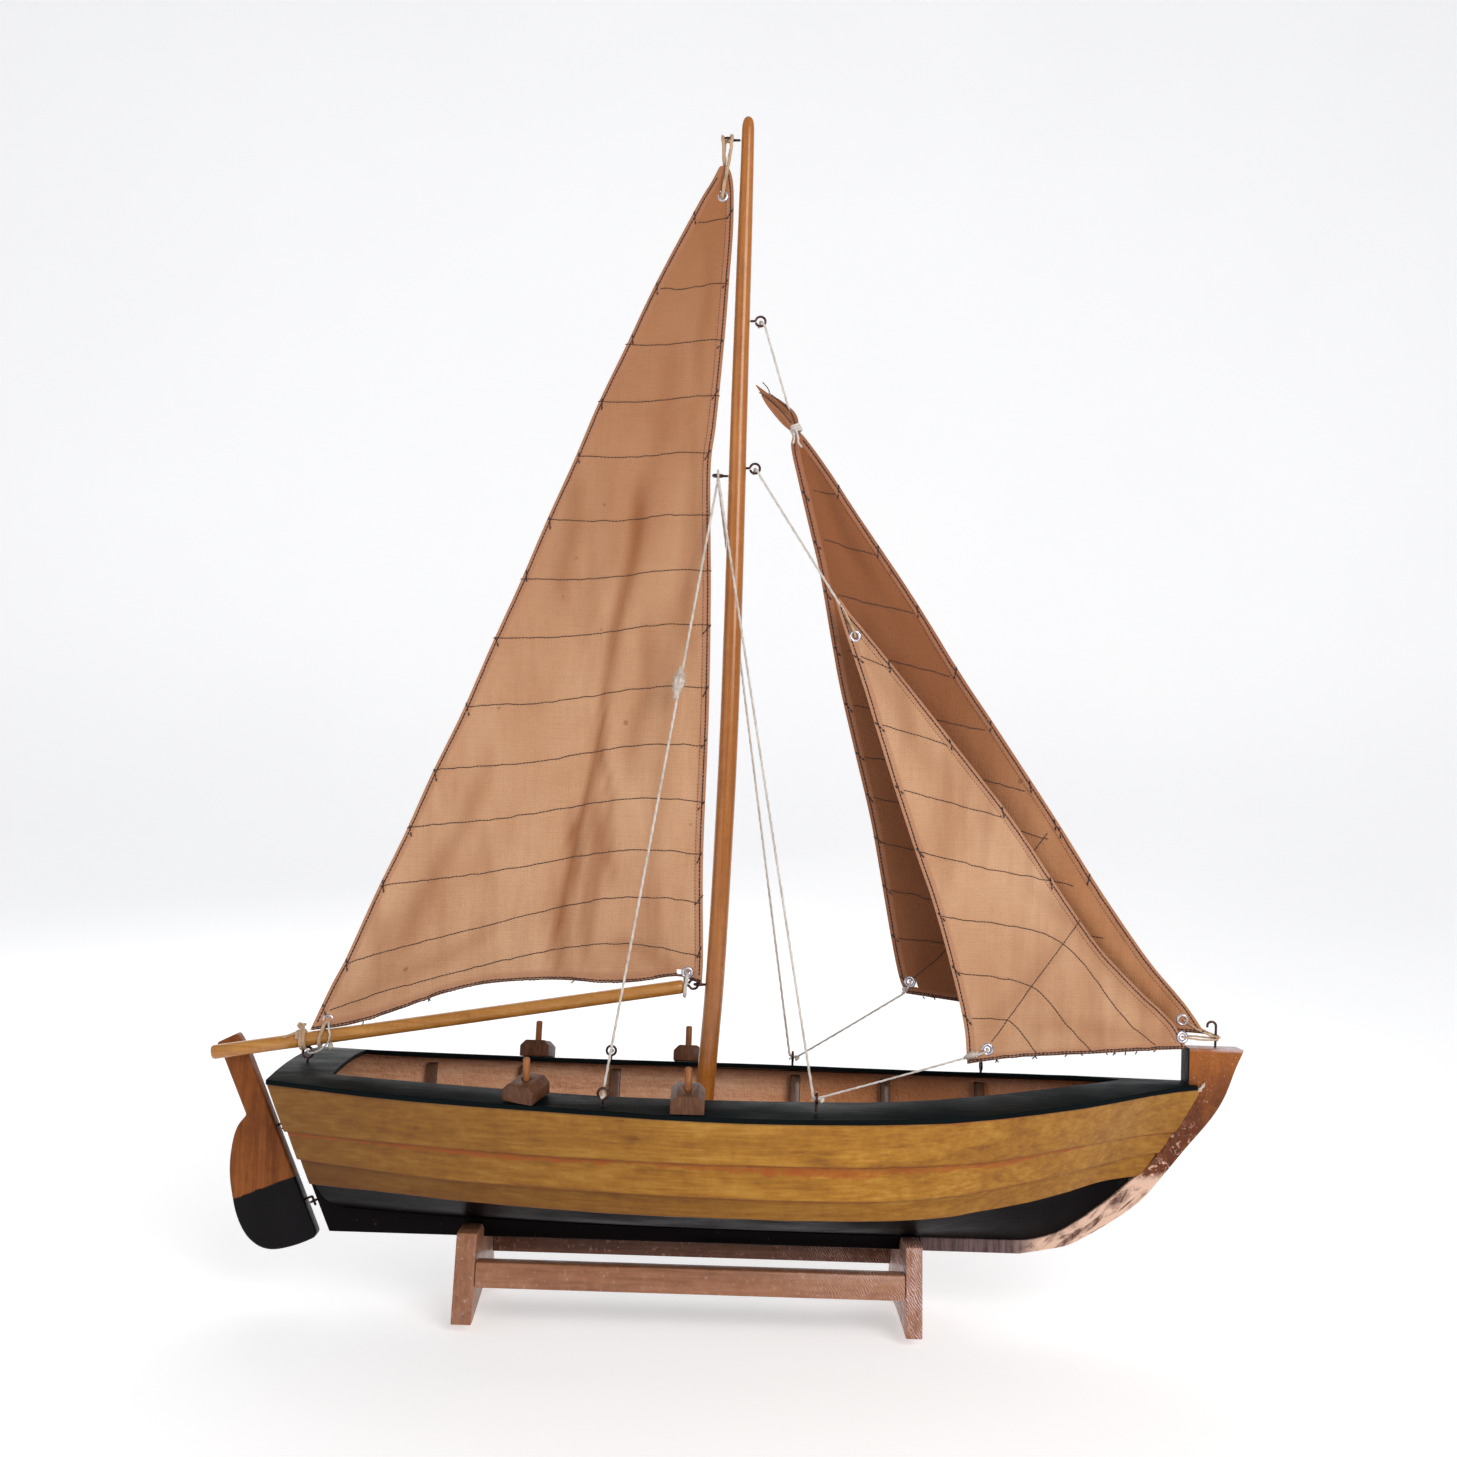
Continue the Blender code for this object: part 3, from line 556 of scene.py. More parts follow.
@dataclass(frozen=True)
class Wood:
    """Varnished or bare wood with grain, mottling, pores and small dents."""

    name: str
    dark: Colour
    middle: Colour
    light: Colour
    along: Point = (0.06, 1.0, 1.0)
    grain_scale: float = 650.0
    mottle_scale: float = 170.0
    gloss: float = 0.32
    coat: float = 0.35
    relief: float = 0.00012
    sparkle: float = 0.0
    shine: float = 0.3

    def tone(self, g: Graph) -> tuple:
        """The grain's colour and its height, before any stain.

        Args:
            g: The material's nodes.

        Returns:
            Colour and height sockets.
        """
        long = g.scaled(g.place, self.along)
        fibre = g.grain(long, self.grain_scale, 4, 0.6, 0.4)
        broad = g.grain(long, self.grain_scale * 0.14, 3, 0.5, 1.2)
        mottle = g.grain(g.place, self.mottle_scale, 4, 0.65)
        cloud = g.grain(g.place, self.mottle_scale * 0.12, 2, 0.5)
        mixed = g.plus(g.times(fibre, 0.34), g.times(broad, 0.3))
        mixed = g.plus(mixed, g.times(mottle, 0.22))
        mixed = g.plus(mixed, g.times(cloud, 0.14))
        colour = g.ramp(mixed, (0.34, self.dark), (0.5, self.middle), (0.66, self.light))
        height = g.plus(g.times(fibre, 0.6), g.times(mottle, 0.4))
        return colour, height

    def shade(self, g: Graph, colour: Value, height: Value) -> Material:
        """Turns a colour and height into the finished material.

        Args:
            g: The material's nodes.
            colour: Colour of the wood.
            height: Height of its grain.

        Returns:
            The finished material.
        """
        patch = g.grain(g.place, 90, 3, 0.6)
        rough = g.fit(patch, 0.3, 0.7, self.gloss * 0.75, self.gloss * 1.35)
        relief = g.bump(height, self.relief)
        if self.sparkle:
            blobs = g.grain(g.place, 480, 3, 0.7)
            relief = g.bump(blobs, self.sparkle, 1.0, relief)
        return g.finish(colour, rough, relief, Coat_Weight=self.coat, Coat_Roughness=0.16,
                        Specular_IOR_Level=self.shine)

    def build(self) -> Material:
        """Makes the material."""
        g = Graph(self.name)
        colour, height = self.tone(g)
        return self.shade(g, colour, height)


@dataclass(frozen=True)
class HullPlank(Wood):
    """Varnished plank whose upper edge carries a seep of red glue under the lap, with painted shade towards
    the stern and the bow.
    """

    seep: Colour = srgb(172, 84, 30)
    seep_width: float = 3.6
    seep_amount: float = 0.85
    seep_from: float = -0.3
    line_dark: Colour = srgb(96, 50, 18)
    # Painted shade: the colour the planks darken towards, strongly aft and a little forward.
    painted_shade: Colour = srgb(74, 36, 4)
    painted_shade_to: float = 0.04
    painted_shade_share: float = 0.66

    def build(self) -> Material:
        """Makes the material from the drop and rise stored on the plank."""
        g = Graph(self.name)
        colour, height = self.tone(g)
        # Painted shade towards the stern, then a little towards the bow.
        colour = g.blend(g.fit(g.axes()[0], -0.19, self.painted_shade_to, self.painted_shade_share, 0.0), colour, self.painted_shade)
        colour = g.blend(g.fit(g.axes()[0], 0.06, 0.2, 0.0, 0.3), colour, self.painted_shade)
        drop, rise = g.value("drop"), g.value("rise")
        slow = g.grain(g.scaled(g.place, (1, 0.2, 0.2)), 26, 3, 0.7)
        quick = g.grain(g.scaled(g.place, (1, 0.4, 0.4)), 210, 3, 0.6)
        width = g.plus(g.fit(slow, 0.35, 0.65, self.seep_width * 0.35, self.seep_width * 1.3),
                       g.fit(quick, 0.4, 0.7, -0.3, 0.9))
        width = g.times(width, g.fit(g.axes()[0], -0.1, -0.02, 0.62, 1.0))
        width = g.times(width, g.fit(g.axes()[0], 0.07, 0.16, 1.0, 0.45))
        inside = g.fit(g.calc("SUBTRACT", width, drop), -0.25, 0.6, 0.0, self.seep_amount)
        if self.seep_from > -0.3:
            gate = g.fit(g.axes()[0], self.seep_from, self.seep_from + 0.012)
            inside = g.times(inside, gate)
        seep = g.blend(g.fit(g.grain(g.place, 130, 4, 0.7), 0.3, 0.7, 0.0, 0.75), self.seep, colour)
        colour = g.blend(inside, colour, seep)
        edge = g.fit(g.calc("ABSOLUTE", drop), 0.0, 1.1, 0.75, 0.0)
        colour = g.blend(edge, colour, self.line_dark)
        lower = g.fit(rise, 0.0, 1.0, 0.35, 0.0)
        colour = g.blend(lower, colour, self.line_dark)
        height = g.plus(height, g.times(inside, 0.8))
        return self.shade(g, colour, height)


@dataclass(frozen=True)
class InnerWood(Wood):
    """Boards seen from inside, thickly varnished and more golden towards the bow."""

    golden: Colour = srgb(206, 122, 50)

    def build(self) -> Material:
        """Makes the material."""
        g = Graph(self.name)
        colour, height = self.tone(g)
        uneven = g.calc("MULTIPLY_ADD", g.grain(g.place, 40, 3, 0.6), 0.06, g.axes()[0])
        colour = g.blend(g.fit(uneven, 0.03, 0.1, 0.0, 0.8), colour, self.golden)
        return self.shade(g, colour, height)


@dataclass(frozen=True)
class StemWood(Wood):
    """Stem: glossy copper brown with painted highlights above (bright specks, glints and a pale top edge),
    bare, pale and cracked below, near black on the aft face of its head.
    """

    raw_dark: Colour = srgb(96, 62, 52)
    raw_light: Colour = srgb(222, 184, 162)
    painted_glint: Colour = srgb(232, 188, 166)
    aft_face_black: Colour = srgb(14, 12, 14)
    head: Colour = srgb(170, 96, 30)

    def build(self) -> Material:
        """Makes the material, changing with height and towards the keel."""
        g = Graph(self.name)
        colour, height = self.tone(g)
        x, _, z = g.axes()
        leaning = g.scaled(g.place, (0.22, 1, 1), (0, 38, 0))
        torn = g.grain(leaning, 240, 5, 0.7, 0.8)
        broad = g.grain(g.place, 55, 3, 0.6)
        raw = g.ramp(g.plus(g.times(torn, 0.7), g.times(broad, 0.3)),
                     (0.41, self.raw_dark), (0.52, self.raw_light))
        crack = g.fit(g.grain(g.scaled(g.place, (0.2, 1, 1), (0, 30, 0)), 210, 3, 0.6, 0.6), 0.64, 0.68)
        raw = g.blend(crack, raw, srgb(52, 30, 24))
        ends = g.grain(g.scaled(g.place, (1, 1, 0.08)), 520, 4, 0.6)
        foot = g.ramp(ends, (0.3, srgb(58, 42, 44)), (0.7, srgb(122, 96, 94)))
        raw = g.blend(g.fit(g.calc("MULTIPLY_ADD", broad, 0.03, x), 0.152, 0.168), foot, raw)
        low = g.fit(g.calc("MULTIPLY_ADD", torn, 0.012, z), 0.0745, 0.078, 1.0, 0.0)
        # Painted highlights: bright specks on the upper stem.
        highlight_dots = g.fit(g.grain(g.place, 520, 3, 0.7, 0.6), 0.62, 0.68, 0.0, 0.85)
        where = g.fit(g.grain(g.place, 70, 2, 0.6), 0.42, 0.6)
        colour = g.blend(g.times(highlight_dots, where), colour, self.painted_glint)
        colour = g.blend(g.fit(g.calc("MULTIPLY_ADD", broad, 0.02, z), 0.112, 0.135, 0.0, 0.6), colour,
                         self.head)
        # Painted glints low on the upper stem.
        glint = g.fit(g.grain(g.place, 300, 4, 0.75, 0.8), 0.55, 0.6)
        near = g.times(g.fit(z, 0.079, 0.097, 1.0, 0.0), g.fit(broad, 0.4, 0.5))
        colour = g.blend(g.times(glint, near), colour, self.painted_glint)
        # Painted highlight along the top edge.
        top_edge_highlight = g.times(g.fit(z, 0.1288, 0.1302), g.fit(broad, 0.35, 0.6, 0.1, 0.8))
        colour = g.blend(top_edge_highlight, colour, srgb(214, 190, 194))
        colour = g.blend(low, colour, raw)
        # The aft face of the head is painted near black and made rougher.
        aft = g.times(g.fit(x, 0.2191, 0.2196, 1.0, 0.0), g.fit(z, 0.108, 0.110))
        colour = g.blend(aft, colour, self.aft_face_black)
        height = g.plus(height, g.times(g.times(low, torn), 3.0))
        rough = g.plus(g.fit(torn, 0.35, 0.65, 0.16, 0.34), g.times(low, 0.2))
        rough = g.plus(rough, g.times(aft, 0.5))
        relief = g.bump(height, self.relief)
        relief = g.bump(g.grain(g.place, 330, 3, 0.6), 0.0009, 1.0, relief)
        return g.finish(colour, rough, relief, Coat_Weight=0.08, Coat_Roughness=0.1, Specular_IOR_Level=0.24)


@dataclass(frozen=True)
class SawnWood(Wood):
    """Stand wood: satin brown with pale diagonal saw marks in places, thickest towards the bow end, where
    they are partly painted light.
    """

    marks: Colour = srgb(214, 172, 160)
    marks_and_light_from: float = 0.02
    marks_and_light_share: float = 0.75

    def build(self) -> Material:
        """Makes the material, with more saw marks towards the bow end, where they also stand for painted
        light.
        """
        g = Graph(self.name)
        colour, height = self.tone(g)
        x = g.axes()[0]
        saw = g.stripes(g.scaled(g.place, (1, 0.2, 1), (0, 32, 0)), 290, 9, 3)
        where = g.grain(g.place, 110, 4, 0.7)
        amount = g.times(g.fit(saw, 0.35, 1.0), g.fit(where, 0.36, 0.6))
        # Pale saw marks laid far more thickly towards the bow end, where they also stand for painted light on
        # the stand's right side.
        amount = g.times(amount, g.fit(x, self.marks_and_light_from, 0.082, 0.06, self.marks_and_light_share))
        colour = g.blend(amount, colour, self.marks)
        scuff = g.fit(g.grain(g.place, 420, 2, 0.6), 0.6, 0.75, 0.0, 0.35)
        colour = g.blend(scuff, colour, self.marks)
        height = g.plus(height, g.times(amount, 0.8))
        return self.shade(g, colour, height)


@dataclass(frozen=True)
class RudderWood(Wood):
    """Rudder: brown varnish above a painted waterline."""

    paint: Colour = srgb(5, 2, 5)

    def build(self) -> Material:
        """Makes the material, split by a slightly uneven sloping line."""
        g = Graph(self.name)
        colour, height = self.tone(g)
        x, _, z = g.axes()
        uneven = g.times(g.grain(g.place, 240, 3, 0.6), 0.0018)
        slope = g.calc("MULTIPLY_ADD", x, -0.41, g.plus(z, uneven))
        above = g.fit(slope, 0.1409, 0.1416)
        streak = g.fit(g.grain(g.scaled(g.place, (1, 1, 0.3)), 90, 3, 0.6), 0.4, 0.7)
        paint = g.blend(streak, self.paint, srgb(12, 8, 12))
        colour = g.blend(above, paint, colour)
        return self.shade(g, colour, height)


@dataclass(frozen=True)
class Paint:
    """Brushed gloss paint with patches, brush marks, grit and worn spots."""

    name: str
    base: Colour
    patch: Colour
    wear: Colour
    gloss: float = 0.3
    coat: float = 0.2
    worn: float = 0.5
    shine: float = 0.16
    brush: Point = (0.05, 1.0, 1.0)

    def build(self) -> Material:
        """Makes the material."""
        g = Graph(self.name)
        cloud = g.grain(g.scaled(g.place, (0.5, 1, 1)), 45, 4, 0.6)
        stroke = g.grain(g.scaled(g.place, self.brush), 900, 3, 0.6)
        grit = g.grain(g.place, 950, 2, 0.5)
        colour = g.blend(g.fit(cloud, 0.35, 0.7), self.base, self.patch)
        colour = g.blend(g.fit(stroke, 0.45, 0.75, 0.0, 0.4), colour, self.patch)
        chips = g.fit(g.grain(g.place, 260, 4, 0.75), 0.66, 0.7, 0.0, self.worn)
        colour = g.blend(chips, colour, self.wear)
        rough = g.fit(cloud, 0.3, 0.7, self.gloss * 0.7, self.gloss * 1.5)
        relief = g.bump(stroke, 0.00014)
        relief = g.bump(grit, 0.00008, 1.0, relief)
        return g.finish(colour, rough, relief, Coat_Weight=self.coat, Coat_Roughness=0.12,
                        Specular_IOR_Level=self.shine)


@dataclass(frozen=True)
class Cloth:
    """Tanned cotton: plain weave, slubs, water stains, folds darkened by stains and painted shade, darker
    hems and a painted shadow where set.
    """

    name: str = "sail_cotton"
    base: Colour = srgb(196, 148, 112)
    pale: Colour = srgb(212, 168, 132)
    stain_and_shade: Colour = srgb(138, 82, 46)
    hem: Colour = srgb(176, 122, 94)
    upper: Colour = srgb(148, 90, 50)
    # Painted shadow of the staysail, laid across the jib's after part up to shaded_to.
    shaded: Colour = srgb(98, 48, 26)
    shaded_to: float = -1.0
    pitch: float = 0.00055

    def build(self) -> Material:
        """Makes the material from the UV map and the hem and crease stored on the sail."""
        g = Graph(self.name)
        warp = g.stripes(g.scaled(g.uv, (1, 1, 1)), 0.155 / self.pitch, 0.6, 1)
        weft = g.stripes(g.scaled(g.uv, (1, 1, 1), (0, 0, 90)), 0.155 / self.pitch, 0.6, 1)
        weave = g.times(warp, weft)
        slub_up = g.grain(g.scaled(g.uv, (1, 0.02, 1)), 1500, 2, 0.6)
        slub_over = g.grain(g.scaled(g.uv, (0.02, 1, 1)), 1500, 2, 0.6)
        cloud = g.grain(g.scaled(g.uv, (1, 0.45, 1)), 24, 4, 0.6, 0.4)
        wash = g.grain(g.scaled(g.uv, (1, 0.16, 1)), 60, 3, 0.55, 0.3)
        colour = g.blend(g.fit(cloud, 0.36, 0.64), self.base, self.pale)
        colour = g.blend(g.fit(wash, 0.5, 0.8, 0.0, 0.42), colour, self.stain_and_shade)
        slub = g.plus(g.fit(slub_up, 0.5, 0.8, 0.0, 0.14), g.fit(slub_over, 0.5, 0.8, 0.0, 0.14))
        colour = g.blend(slub, colour, self.stain_and_shade)
        x, _, z = g.axes()
        colour = g.blend(g.fit(z, 0.24, 0.54, 0.0, 0.85), colour, self.upper)
        # Painted shadow of the staysail towards the jib's leech.
        if self.shaded_to > 0:
            colour = g.blend(g.fit(x, self.shaded_to - 0.07, self.shaded_to, 0.7, 0.0), colour, self.shaded)
        # Stains and painted shade darken the cloth along the folds.
        colour = g.blend(g.times(g.value("crease"), 0.8), colour, self.stain_and_shade)
        colour = g.blend(g.times(g.value("hem"), 0.55), colour, self.hem)
        spots = g.fit(g.grain(g.uv, 150, 1, 0.4), 0.76, 0.8, 0.0, 0.5)
        colour = g.blend(spots, colour, srgb(110, 65, 40))
        colour = g.blend(g.fit(weave, 0.0, 1.0, 0.16, 0.0), colour, self.stain_and_shade)
        relief = g.bump(weave, 0.00011)
        relief = g.bump(g.grain(g.uv, 330, 3, 0.6), 0.0005, 1.0, relief)
        rough = g.fit(weave, 0.0, 1.0, 0.95, 0.8)
        return g.finish(colour, rough, relief, Sheen_Weight=0.18, Sheen_Roughness=0.5,
                        Specular_IOR_Level=0.25)


@dataclass(frozen=True)
class Thread:
    """Twisted thread or cord: strand shading, fuzz and slight soiling along its length."""

    name: str
    base: Colour
    soil_and_shade: Colour
    gloss: float = 0.75

    def build(self) -> Material:
        """Makes the material."""
        g = Graph(self.name)
        strand = g.stripes(g.scaled(g.place, (1, 1, 1), (20, 35, 15)), 700, 2, 2)
        dirt = g.grain(g.place, 110, 4, 0.65)
        fuzz = g.grain(g.place, 2400, 2, 0.7)
        colour = g.blend(g.fit(dirt, 0.42, 0.7, 0.0, 0.8), self.base, self.soil_and_shade)
        # Painted shade between the strands.
        colour = g.blend(g.fit(strand, 0.0, 0.6, 0.3, 0.0), colour, self.soil_and_shade)
        relief = g.bump(g.plus(strand, fuzz), 0.00009)
        return g.finish(colour, g.fit(fuzz, 0.3, 0.7, self.gloss * 0.85, self.gloss * 1.15), relief,
                        Sheen_Weight=0.2, Sheen_Roughness=0.5)


@dataclass(frozen=True)
class Metal:
    """Wire or pressed metal with tarnish, rubbed highlights and fine scratches."""

    name: str
    base: Colour
    tarnish: Colour
    gloss: float = 0.3
    metallic: float = 0.85

    def build(self) -> Material:
        """Makes the material."""
        g = Graph(self.name)
        patch = g.grain(g.place, 420, 4, 0.65)
        fine = g.grain(g.place, 2600, 2, 0.6)
        colour = g.blend(g.fit(patch, 0.38, 0.66), self.base, self.tarnish)
        rough = g.fit(patch, 0.3, 0.7, self.gloss * 0.7, self.gloss * 1.6)
        return g.finish(colour, rough, g.bump(g.plus(patch, fine), 0.00006), Metallic=self.metallic)


@dataclass(frozen=True)
class Glue:
    """Dried clear glue: milky, lumpy and shiny."""

    name: str = "dried_glue"

    def build(self) -> Material:
        """Makes the material."""
        g = Graph(self.name)
        cloud = g.grain(g.place, 500, 3, 0.6)
        colour = g.ramp(cloud, (0.35, srgb(172, 156, 142)), (0.65, srgb(208, 194, 180)))
        return g.finish(colour, g.fit(cloud, 0.3, 0.7, 0.12, 0.3), g.bump(cloud, 0.0004), Coat_Weight=0.6,
                        Coat_Roughness=0.1)


@dataclass(frozen=True)
class Backdrop:
    """Pale matt studio surface."""

    name: str = "pale_studio"

    def build(self) -> Material:
        """Makes the material."""
        g = Graph(self.name)
        cloud = g.grain(g.place, 3, 2, 0.5)
        colour = g.ramp(cloud, (0.3, (0.86, 0.86, 0.87, 1)), (0.7, (0.88, 0.88, 0.88, 1)))
        return g.finish(colour, 0.85, g.bump(g.grain(g.place, 900, 2, 0.5), 0.00005), Emission_Strength=0.42)


class Palette:
    """Every finish of the ship, each made once."""

    def __init__(self) -> None:
        golden = dict(dark=srgb(120, 70, 6), middle=srgb(164, 110, 26), light=srgb(194, 144, 58), shine=0.2)
        self.sheer = HullPlank("varnish_sheer", **golden, gloss=0.32, coat=0.22, seep_width=1.6,
                               seep_amount=0.9, seep_from=0.085).build()
        self.middle = HullPlank("varnish_middle", **golden, gloss=0.34, coat=0.2, seep_width=4.6,
                                 seep_amount=0.95, seep=srgb(156, 70, 8)).build()
        self.lower = HullPlank("varnish_lower", **golden, gloss=0.38, coat=0.12, seep_width=1.8,
                               seep=srgb(136, 66, 16), seep_amount=0.7, painted_shade_to=0.2, painted_shade_share=0.85).build()
        self.transom = Wood("varnish_transom", srgb(120, 72, 24), srgb(150, 98, 38), srgb(176, 124, 58),
                            along=(1, 0.06, 1)).build()
        # Painted light: the inside colours are raised well above the outer planks' to stand in for light
        # falling into the cockpit.
        self.inner = InnerWood("varnish_inside", srgb(196, 132, 96), srgb(232, 170, 128), srgb(248, 202, 164),
                          gloss=0.24, coat=0.5, sparkle=0.0012, shine=0.5).build()
        self.rib = Wood("rib_wood", srgb(60, 36, 24), srgb(100, 64, 42), srgb(146, 100, 66),
                        along=(1, 1, 0.08), gloss=0.4, sparkle=0.0006).build()
        self.spar = Wood("varnish_spar", srgb(138, 78, 28), srgb(168, 102, 42), srgb(188, 122, 56),
                         along=(1, 1, 0.03), grain_scale=900, gloss=0.26, coat=0.55).build()
        self.boom = Wood("varnish_boom", srgb(146, 92, 36), srgb(180, 122, 56), srgb(200, 144, 76),
                         along=(0.03, 1, 1), grain_scale=900, gloss=0.28, coat=0.5).build()
        self.pin = Wood("pin_wood", srgb(116, 62, 30), srgb(150, 92, 50), srgb(178, 118, 68),
                        along=(1, 1, 0.05), grain_scale=1300, gloss=0.5, coat=0.1).build()
        self.block = Wood("block_wood_end", srgb(56, 30, 16), srgb(86, 50, 28), srgb(116, 74, 44),
                          along=(1, 1, 0.12), grain_scale=1100, gloss=0.5, coat=0.1, relief=0.0003).build()
        self.rudder = RudderWood("rudder_brown", srgb(98, 50, 20), srgb(136, 76, 34), srgb(160, 98, 48),
                                 along=(1, 1, 0.06), gloss=0.36, coat=0.04, shine=0.12).build()
        self.stem = StemWood("stem_copper", srgb(54, 20, 1), srgb(96, 42, 4), srgb(146, 82, 22),
                             along=(0.5, 1, 0.12), mottle_scale=120).build()
        brown = dict(dark=srgb(112, 68, 44), middle=srgb(148, 98, 68), light=srgb(172, 122, 90))
        self.stand = SawnWood("stand_brown", **brown, gloss=0.4, coat=0.25, relief=0.0002).build()
        # The port rail is darker than the near one: painted shade of the hull above it.
        self.far_rail_painted_shade = SawnWood("stand_dark_brown", srgb(66, 34, 20), srgb(92, 54, 36), srgb(120, 80, 58),
                                 gloss=0.5,
                                 coat=0.05, relief=0.0002).build()
        self.upright = SawnWood("stand_upright_brown", **brown, along=(1, 1, 0.08),
                                marks=srgb(226, 196, 198), marks_and_light_share=1.0, gloss=0.4, coat=0.2,
                                relief=0.0002).build()
        self.bottom = Paint("bottom_black", srgb(5, 1, 2), srgb(9, 4, 6), srgb(30, 20, 22), worn=0.2,
                            gloss=0.4, coat=0.0, shine=0.05).build()
        self.keel = Paint("keel_black", srgb(7, 3, 4), srgb(13, 7, 9), srgb(96, 66, 58), worn=0.5,
                          gloss=0.4, coat=0.0, shine=0.06).build()
        self.deck = Paint("deck_green_black", srgb(7, 13, 14), srgb(12, 20, 22), srgb(40, 52, 58),
                          worn=0.2, gloss=0.45, coat=0.0, shine=0.04).build()
        self.cloth = Cloth().build()
        self.cloth_dark = Cloth("sail_cotton_shaded", base=srgb(166, 118, 85),
                                pale=srgb(182, 135, 101)).build()
        self.jib = Cloth("sail_cotton_jib", base=srgb(182, 126, 86), pale=srgb(196, 143, 102),
                         shaded=srgb(118, 62, 34), shaded_to=0.17).build()
        self.seam = Thread("seam_thread_brown", srgb(74, 44, 26), srgb(48, 28, 18)).build()
        self.edge = Thread("edge_thread_maroon", srgb(48, 16, 18), srgb(28, 10, 12)).build()
        self.white = Thread("white_twine", srgb(224, 216, 208), srgb(176, 164, 152)).build()
        self.beige = Thread("beige_cord", srgb(208, 176, 142), srgb(166, 130, 98)).build()
        self.bronze = Metal("eye_bronze", srgb(92, 62, 54), srgb(46, 28, 26)).build()
        self.silver = Metal("grommet_silver", srgb(222, 218, 226), srgb(160, 152, 168), 0.2, 0.9).build()
        self.glue = Glue().build()
        self.studio = Backdrop().build()


class Piece:
    """Shared last steps for every finished piece."""

    def __init__(self, palette: Palette) -> None:
        self.palette = palette
        self.made: list = []

    def settle(self, obj: Object, material: Material, body: Body,
               slot: Slot) -> Object:
        """Gives a piece its material and body."""
        obj.data.materials.clear()
        obj.data.materials.append(material)
        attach(obj, body.value)
        self.made.append(obj.name)
        return obj

    def report(self) -> None:
        """Logs the pieces made."""
        LOG.info("%s: %d pieces", type(self).__name__, len(self.made))


# ---- camera and studio -------------------------------------------------------
@dataclass
class Studio:
    """Camera at the original viewing angle, soft lights, pale floor and backdrop."""

    place: Point = (-0.013095, -0.757142, 0.238242)
    yaw: float = -0.0085810
    pitch: float = 0.0502280
    roll: float = 0.0343863
    lens: float = 38.545
    lights: dict = field(default_factory=lambda: {
        "key": ((0.62, -1.25, 0.8), 0.8, 12.6, (1.0, 0.975, 0.94)),
        "fill": ((-1.1, -0.9, 0.55), 1.0, 2.6, (0.95, 0.97, 1.0)),
        "back": ((-0.3, 1.2, 1.0), 1.2, 4.5, (1.0, 0.98, 0.96))})

    def camera(self) -> None:
        """Makes the camera and sets it as the scene's."""
        right = Vector((math.cos(self.yaw), math.sin(self.yaw), 0))
        ahead = Vector((-math.sin(self.yaw), math.cos(self.yaw), 0))
        up = Vector((0, 0, 1))
        ahead, up = (ahead * math.cos(self.pitch) + up * math.sin(self.pitch),
                     up * math.cos(self.pitch) - ahead * math.sin(self.pitch))
        right, up = (right * math.cos(self.roll) + up * math.sin(self.roll),
                     up * math.cos(self.roll) - right * math.sin(self.roll))
        data = bpy.data.cameras.new("view")
        data.lens = self.lens
        data.sensor_width = 36.0
        data.clip_start, data.clip_end = 0.01, 20.0
        obj = placed("view", data)
        turn = Matrix((right, up, -ahead)).transposed()
        obj.matrix_world = Matrix.Translation(Vector(self.place)) @ turn.to_4x4()
        bpy.context.scene.camera = obj

    def build(self, palette: Palette) -> None:
        """Makes the floor, the lights and the surrounding light."""
        scene = bpy.context.scene
        profile = [(-2.2, 0.0), (1.1, 0.0), (1.5, 0.03), (1.8, 0.14), (2.0, 0.36), (2.1, 0.7), (2.15, 1.3),
                   (2.15, 2.8)]
        path = Path([(0, y, z) for y, z in profile])
        verts, faces = [], []
        rows = [path.at(i / 60) for i in range(61)]
        for i, p in enumerate(rows):
            verts += [Vector((-3.2, p.y, p.z)) / MM, Vector((3.2, p.y, p.z)) / MM]
            if i:
                faces.append([2 * i - 2, 2 * i - 1, 2 * i + 1, 2 * i])
        floor = make_object("studio_floor", verts, faces)
        floor.data.materials.append(palette.studio)
        for name, (spot, size, power, colour) in self.lights.items():
            data = bpy.data.lights.new(name, "AREA")
            data.size, data.energy, data.color = size, power, colour
            obj = placed(name, data)
            obj.location = spot
            obj.rotation_euler = (Vector((0, 0, 0.22)) - Vector(spot)).to_track_quat("-Z", "Y").to_euler()
        world = bpy.data.worlds.new("soft_room")
        world.use_nodes = True
        world.node_tree.nodes["Background"].inputs["Color"].default_value = (0.93, 0.95, 1.0, 1)
        world.node_tree.nodes["Background"].inputs["Strength"].default_value = 0.34
        scene.world = world
        scene.view_settings.view_transform = "Standard"


# ---- rigging cords -----------------------------------------------------------
TWINE = 0.55
DECK_EYES = {"shroud_eye_aft_starboard": ((-56.9, -60.5, 110.0), False),
             "shroud_eye_aft_port": ((-61.1, 60.5, 110.0), False),
             "shroud_eye_fore_starboard": ((37.4, -60.5, 110.9), True),
             "shroud_eye_fore_port": ((33.1, 60.5, 109.9), True),
             "spare_eye_fore_port": ((127.5, 40.0, 111.7), True),
             "mainsheet_eye": ((-199.6, -13.0, 116.0), False)}
MAST_EYES = {"masthead_eye": (-16.6, 0.0, 568.0), "shroud_eye_mast": (-16.0, 0.0, 400.0),
             "jib_halyard_eye": (2.3, 0.0, 477.4), "staysail_halyard_eye": (2.0, 0.0, 404.2)}


